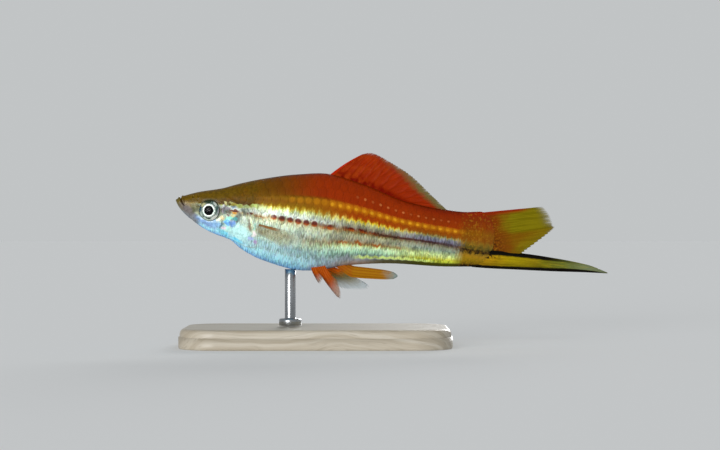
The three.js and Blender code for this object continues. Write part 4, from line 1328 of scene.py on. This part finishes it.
def makeEyeFinish():
    finish, bench, shader = newMaterial("irisAndPupil", {"Specular IOR Level": 0.1})
    fade, mix, noise = bench.fade, bench.mix, bench.noise
    x, y, _ = bench.split(bench.attribute("eye"))
    flat = bench.join(x, y)
    reach = bench.length(flat)
    streaks = noise(bench.join(bench.maths("ARCTAN2", y, x) * 5, reach * 1.2), 1, 3)
    patchy = noise(flat, 1.4, 3, 0.6)
    outer = mix(fade(patchy, 0.4, 0.6), "546a62", "94aca0")
    drift = patchy * 0.5 - 0.25
    wander = bench.join(x + drift, y - drift)
    for patch in eyePaint:
        outer = bench.dab(outer, wander, *patch)
    ring = mix(fade(streaks, 0.35, 0.7), "b0c4ba", "e6ece0")
    colour = mix(fade(reach, 1.56, 1.66), ring, outer)
    colour = mix(bench.band(reach, eyeMake["ring"] + 0.05, 0.03, 0.06) * 0.6, colour, "2c3432")
    colour = mix(fade(reach, 2.26, 2.36), colour, "2c322c")
    colour = mix(fade(reach, 1.13, 1.05), colour, "050608")
    bench.wire(shader, {
        "Base Color": colour, "Metallic": fade(reach, 1.05, 1.13) * fade(reach, 2.3, 2.2) * 0.35,
        "Roughness": fade(reach, 1.03, 1.13, 0.2, 0.3)})
    return finish


def makeCorneaFinish():
    finish, bench, shader = newMaterial("cornea", {"Roughness": 0.03, "Base Color": (0.02, 0.02, 0.02, 1)})
    edge = bench.wire(bench.node("ShaderNodeFresnel"), {"IOR": 1.34})
    clear = bench.node("ShaderNodeBsdfTransparent").outputs[0]
    both = bench.fill(bench.node("ShaderNodeMixShader"), edge * 0.22, clear, shader.outputs[0])
    bench.feed(bench.tree.nodes["Material Output"].inputs[0], both)
    return finish


# Stand

stand = {
    "corner": 9.0,
    "bevel": 1.3,
    "foot": [(0.35, 0.0), (0.1, 0.12), (0, 0.4)],  # inset and height
    "bead": [(0, -0.55), (0.28, -0.55), (0.3, -0.4)],  # the same, from where the bevel starts
    "cornerSteps": 20,
    "bevelSteps": 6,
    "rodSides": 64,
    "rodRadius": 1.24,
    "collarRadius": 2.58,
    "collarHeight": 1.6,
    "collarEdge": 0.45,
}


def ringStack(name, rings):  # a piece of the stand, from rings of points in millimetres with flat ends
    count = len(rings[0])
    faces = [tuple(reversed(range(count)))] + ringFaces(len(rings), count)
    faces.append(tuple((len(rings) - 1) * count + j for j in range(count)))
    return newMesh(name, np.concatenate(rings) * mm, faces)


def makeBase():
    low, high = (np.array(c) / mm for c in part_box("stand_base"))
    middle, half = (low + high) / 2, (high - low) / 2
    bevel, corner, top = stand["bevel"], stand["corner"], high[2] - stand["bevel"]
    turn = np.concatenate([np.linspace(k, k + 1, stand["cornerSteps"] + 1) for k in range(4)]) * math.pi / 2
    signs = np.repeat([(1, 1), (-1, 1), (-1, -1), (1, -1)], stand["cornerSteps"] + 1, axis=0)
    steps = stand["foot"] + [(inset, top + height) for inset, height in stand["bead"]]
    for round_ in np.linspace(0, math.pi / 2, stand["bevelSteps"] + 1):
        steps.append((0.3 + (bevel - 0.3) * (1 - math.cos(round_)), top + bevel * math.sin(round_)))
    rings = []
    for inset, height in steps:
        x = middle[0] + signs[:, 0] * (half[0] - corner) + (corner - inset) * np.cos(turn)
        y = signs[:, 1] * (half[1] - corner) + (corner - inset) * np.sin(turn)
        rings.append(np.stack([x, y, height + 0 * turn], -1))
    piece = ringStack("standBase", rings)
    for end in (0, -1):
        piece.data.polygons[end].use_smooth = False
    return piece


def makeRod():
    low, high = (np.array(c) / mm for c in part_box("stand_rod"))
    foot, top = low[2], high[2]
    collar, rod, edge = stand["collarRadius"], stand["rodRadius"], stand["collarEdge"]
    shoulder = foot + stand["collarHeight"]
    profile = [(collar - 0.15, foot), (collar, foot + 0.15), (collar, shoulder - edge)]
    profile += [(collar - edge * (1 - math.cos(t)), shoulder - edge * (1 - math.sin(t)))
                for t in np.linspace(0.2, math.pi / 2, 6)]
    profile += [(rod + 0.25, shoulder), (rod + 0.06, shoulder + 0.08), (rod, shoulder + 0.25)]
    profile += [(rod, top - 2.2), (rod, top - 0.02)]
    turn = 2 * math.pi * np.arange(stand["rodSides"]) / stand["rodSides"]
    x = (low[0] + high[0]) / 2
    return ringStack("standRod", [
        np.stack([x + radius * np.cos(turn), radius * np.sin(turn), height + 0 * turn], -1)
        for radius, height in profile])


def makeWood():
    finish, bench, shader = newMaterial("whiteOiledAsh", {"Coat Weight": 0.2, "Coat Roughness": 0.25})
    fade, noise = bench.fade, bench.noise
    place = bench.objectPlace()
    x, y, z = bench.split(bench.vector("MULTIPLY", place, (60, 420, 700)))
    bent = noise(bench.vector("MULTIPLY", place, (25, 60, 60)), 1, 3)
    across = bent * 5 + y + z * 0.6
    grain = noise(bench.join(x * 0.15, across), 1.0, 6, 0.62)
    pores = noise(bench.join(x * 1.2, across * 5, z), 1.5, 2)
    colour = bench.ramp(fade(grain, 0.3, 0.72), [
        (0.0, "a89c86"), (0.35, "b9ae9a"), (0.7, "c6bdab"), (1.0, "d0c8b9")])
    colour = bench.mix(fade(pores, 0.56, 0.68) * 0.4, colour, "8c7f68")
    bench.wire(shader, {"Base Color": colour, "Roughness": fade(grain, 0.3, 0.7, 0.38, 0.52)})
    bench.emboss(shader, grain - pores * 0.6, 0.35, 0.06)
    return finish


def makeSteel():
    finish, bench, shader = newMaterial("brushedSteel", {"Metallic": 1.0})
    place = bench.objectPlace()
    lines = bench.noise(bench.vector("MULTIPLY", place, (300, 300, 9000)), 1, 2)
    smudge = bench.noise(bench.vector("MULTIPLY", place, (220, 220, 160)), 1, 3)
    colour = bench.mix(bench.fade(smudge, 0.4, 0.7), "b9bcbe", "a5a8aa")
    bench.wire(shader, {"Base Color": colour, "Roughness": lines * 0.16 + 0.2})
    bench.emboss(shader, lines, 0.15, 0.02)
    return finish


# Camera and light

camera = {
    "lens": 100.0,
    "sensor": 36.0,
    "pixel": 0.23 * mm,  # what one pixel of the 720 by 450 picture covers at the fish
    "snoutPixel": (175.7, 200.3),
    "picture": (720, 450),
}


def makeCamera():
    data = bpy.data.cameras.new("mainCamera")
    data.lens, data.sensor_width, data.sensor_fit = camera["lens"], camera["sensor"], "HORIZONTAL"
    width, height = camera["picture"]
    distance = width * camera["pixel"] * camera["lens"] / camera["sensor"]
    x = snoutWorld[0] + (width / 2 - camera["snoutPixel"][0]) * camera["pixel"]
    z = snoutWorld[2] - (height / 2 - camera["snoutPixel"][1]) * camera["pixel"]
    view = bpy.data.objects.new("mainCamera", data)
    view.location = (x, -distance, z)
    view.rotation_euler = (math.radians(90), 0, 0)
    data.clip_start = 0.01
    bpy.context.scene.collection.objects.link(view)
    bpy.context.scene.camera = view


def softLight(name, place, spread, power, colour):  # wide light from far off, aimed at the model
    data = bpy.data.lights.new(name, "SUN")
    data.angle, data.energy, data.color = math.radians(spread), power, colour
    lamp = bpy.data.objects.new(name, data)
    lamp.location = place
    lamp.rotation_euler = (-Vector(place)).to_track_quat("-Z", "Y").to_euler()
    bpy.context.scene.collection.objects.link(lamp)


studio = {
    "lights": {  # where each stands, how wide it is in degrees, its power and its colour
        "keyLight": ((-0.16, -0.46, 0.27), 24, 0.45, (1, 0.98, 0.95)),
        "frontLight": ((-0.26, -0.5, 0.02), 30, 2.75, (0.99, 0.99, 1)),
        "backLight": ((0.15, 0.5, 0.17), 25, 1.4, (1, 1, 1)),
    },
    "sky": (0.34, 0.355, 0.37, 1),  # what the model is lit by from all round
    "backdrop": (0.535, 0.553, 0.56, 1),  # what the camera sees behind it
    "floor": (0.55, 0.56, 0.56, 1),
    "floorGlow": 0.205,
}


def makeStudio():
    for name, light in studio["lights"].items():
        softLight(name, *light)
    world = bpy.data.worlds.new("studio")
    world.use_nodes = True
    bench = Bench(world.node_tree)
    seen = bench.node("ShaderNodeLightPath").outputs["Is Camera Ray"]
    behind = bench.mix(seen, studio["sky"], studio["backdrop"])
    bench.feed(world.node_tree.nodes["Background"].inputs["Color"], behind)
    bpy.context.scene.world = world
    bpy.context.scene.view_settings.view_transform = "Standard"
    floor = newMesh("studioFloor", [(-3, -3, 0), (3, -3, 0), (3, 3, 0), (-3, 3, 0)], [(0, 1, 2, 3)])
    paint, _, _ = newMaterial("floorPaint", {
        "Roughness": 0.7, "Base Color": studio["floor"], "Specular IOR Level": 0,
        "Emission Color": studio["floor"], "Emission Strength": studio["floorGlow"] / studio["floor"][0]})
    floor.data.materials.append(paint)


makeCamera()
makeStudio()
print("camera and studio ready")
markings = makeMarkings()
skinPiece = makeSkin()
skinPiece.data.materials.append(makeSkinFinish(markings))
print("skin made,", len(skinPiece.data.polygons), "faces")
scalePieces = makeScales(skinPiece, makeCoatFinish(markings))
fins = makeFins()
for name, piece in fins.items():
    special = {"caudalFin": makeCaudalFinish, "sword": makeSwordFinish}.get(name)
    piece.data.materials.append(special() if special else makeFinFinish(name))
print("fins made,", sum(len(piece.data.polygons) for piece in fins.values()), "faces")
irisFinish, corneaFinish = makeEyeFinish(), makeCorneaFinish()
eyePieces = makeEyes()
base, rod = makeBase(), makeRod()
base.data.materials.append(makeWood())
rod.data.materials.append(makeSteel())
print("eyes and stand made")

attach(skinPiece, "root")
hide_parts("head", "lower_jaw", "gill_cover_left", "gill_cover_right", "trunk", "tail_peduncle")
for piece in scalePieces:
    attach(piece, "root")
finNodes = {
    "dorsalFin": ("dorsal_fin", "red_fin"), "caudalFin": ("caudal_fin", "red_fin"),
    "sword": ("sword", "sword_fin"), "pectoralFinLeft": ("pectoral_fin_left", "clear_fin"),
    "pectoralFinRight": ("pectoral_fin_right", "clear_fin"), "pelvicFinLeft": ("pelvic_fin_left", "red_fin"),
    "pelvicFinRight": ("pelvic_fin_right", "red_fin"), "gonopodium": ("gonopodium", "red_fin"),
}
for name, (node, slot) in finNodes.items():
    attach(fins[name], "root")
    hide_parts(node)
for ball, lens, node in eyePieces:
    ball.data.materials.append(irisFinish)
    lens.data.materials.append(corneaFinish)
    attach(ball, "root")
    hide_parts(node)
    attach(lens, "root")
for piece, node, slot in ((base, "stand_base", "base_wood"), (rod, "stand_rod", "rod_steel")):
    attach(piece, "root")
    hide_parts(node)
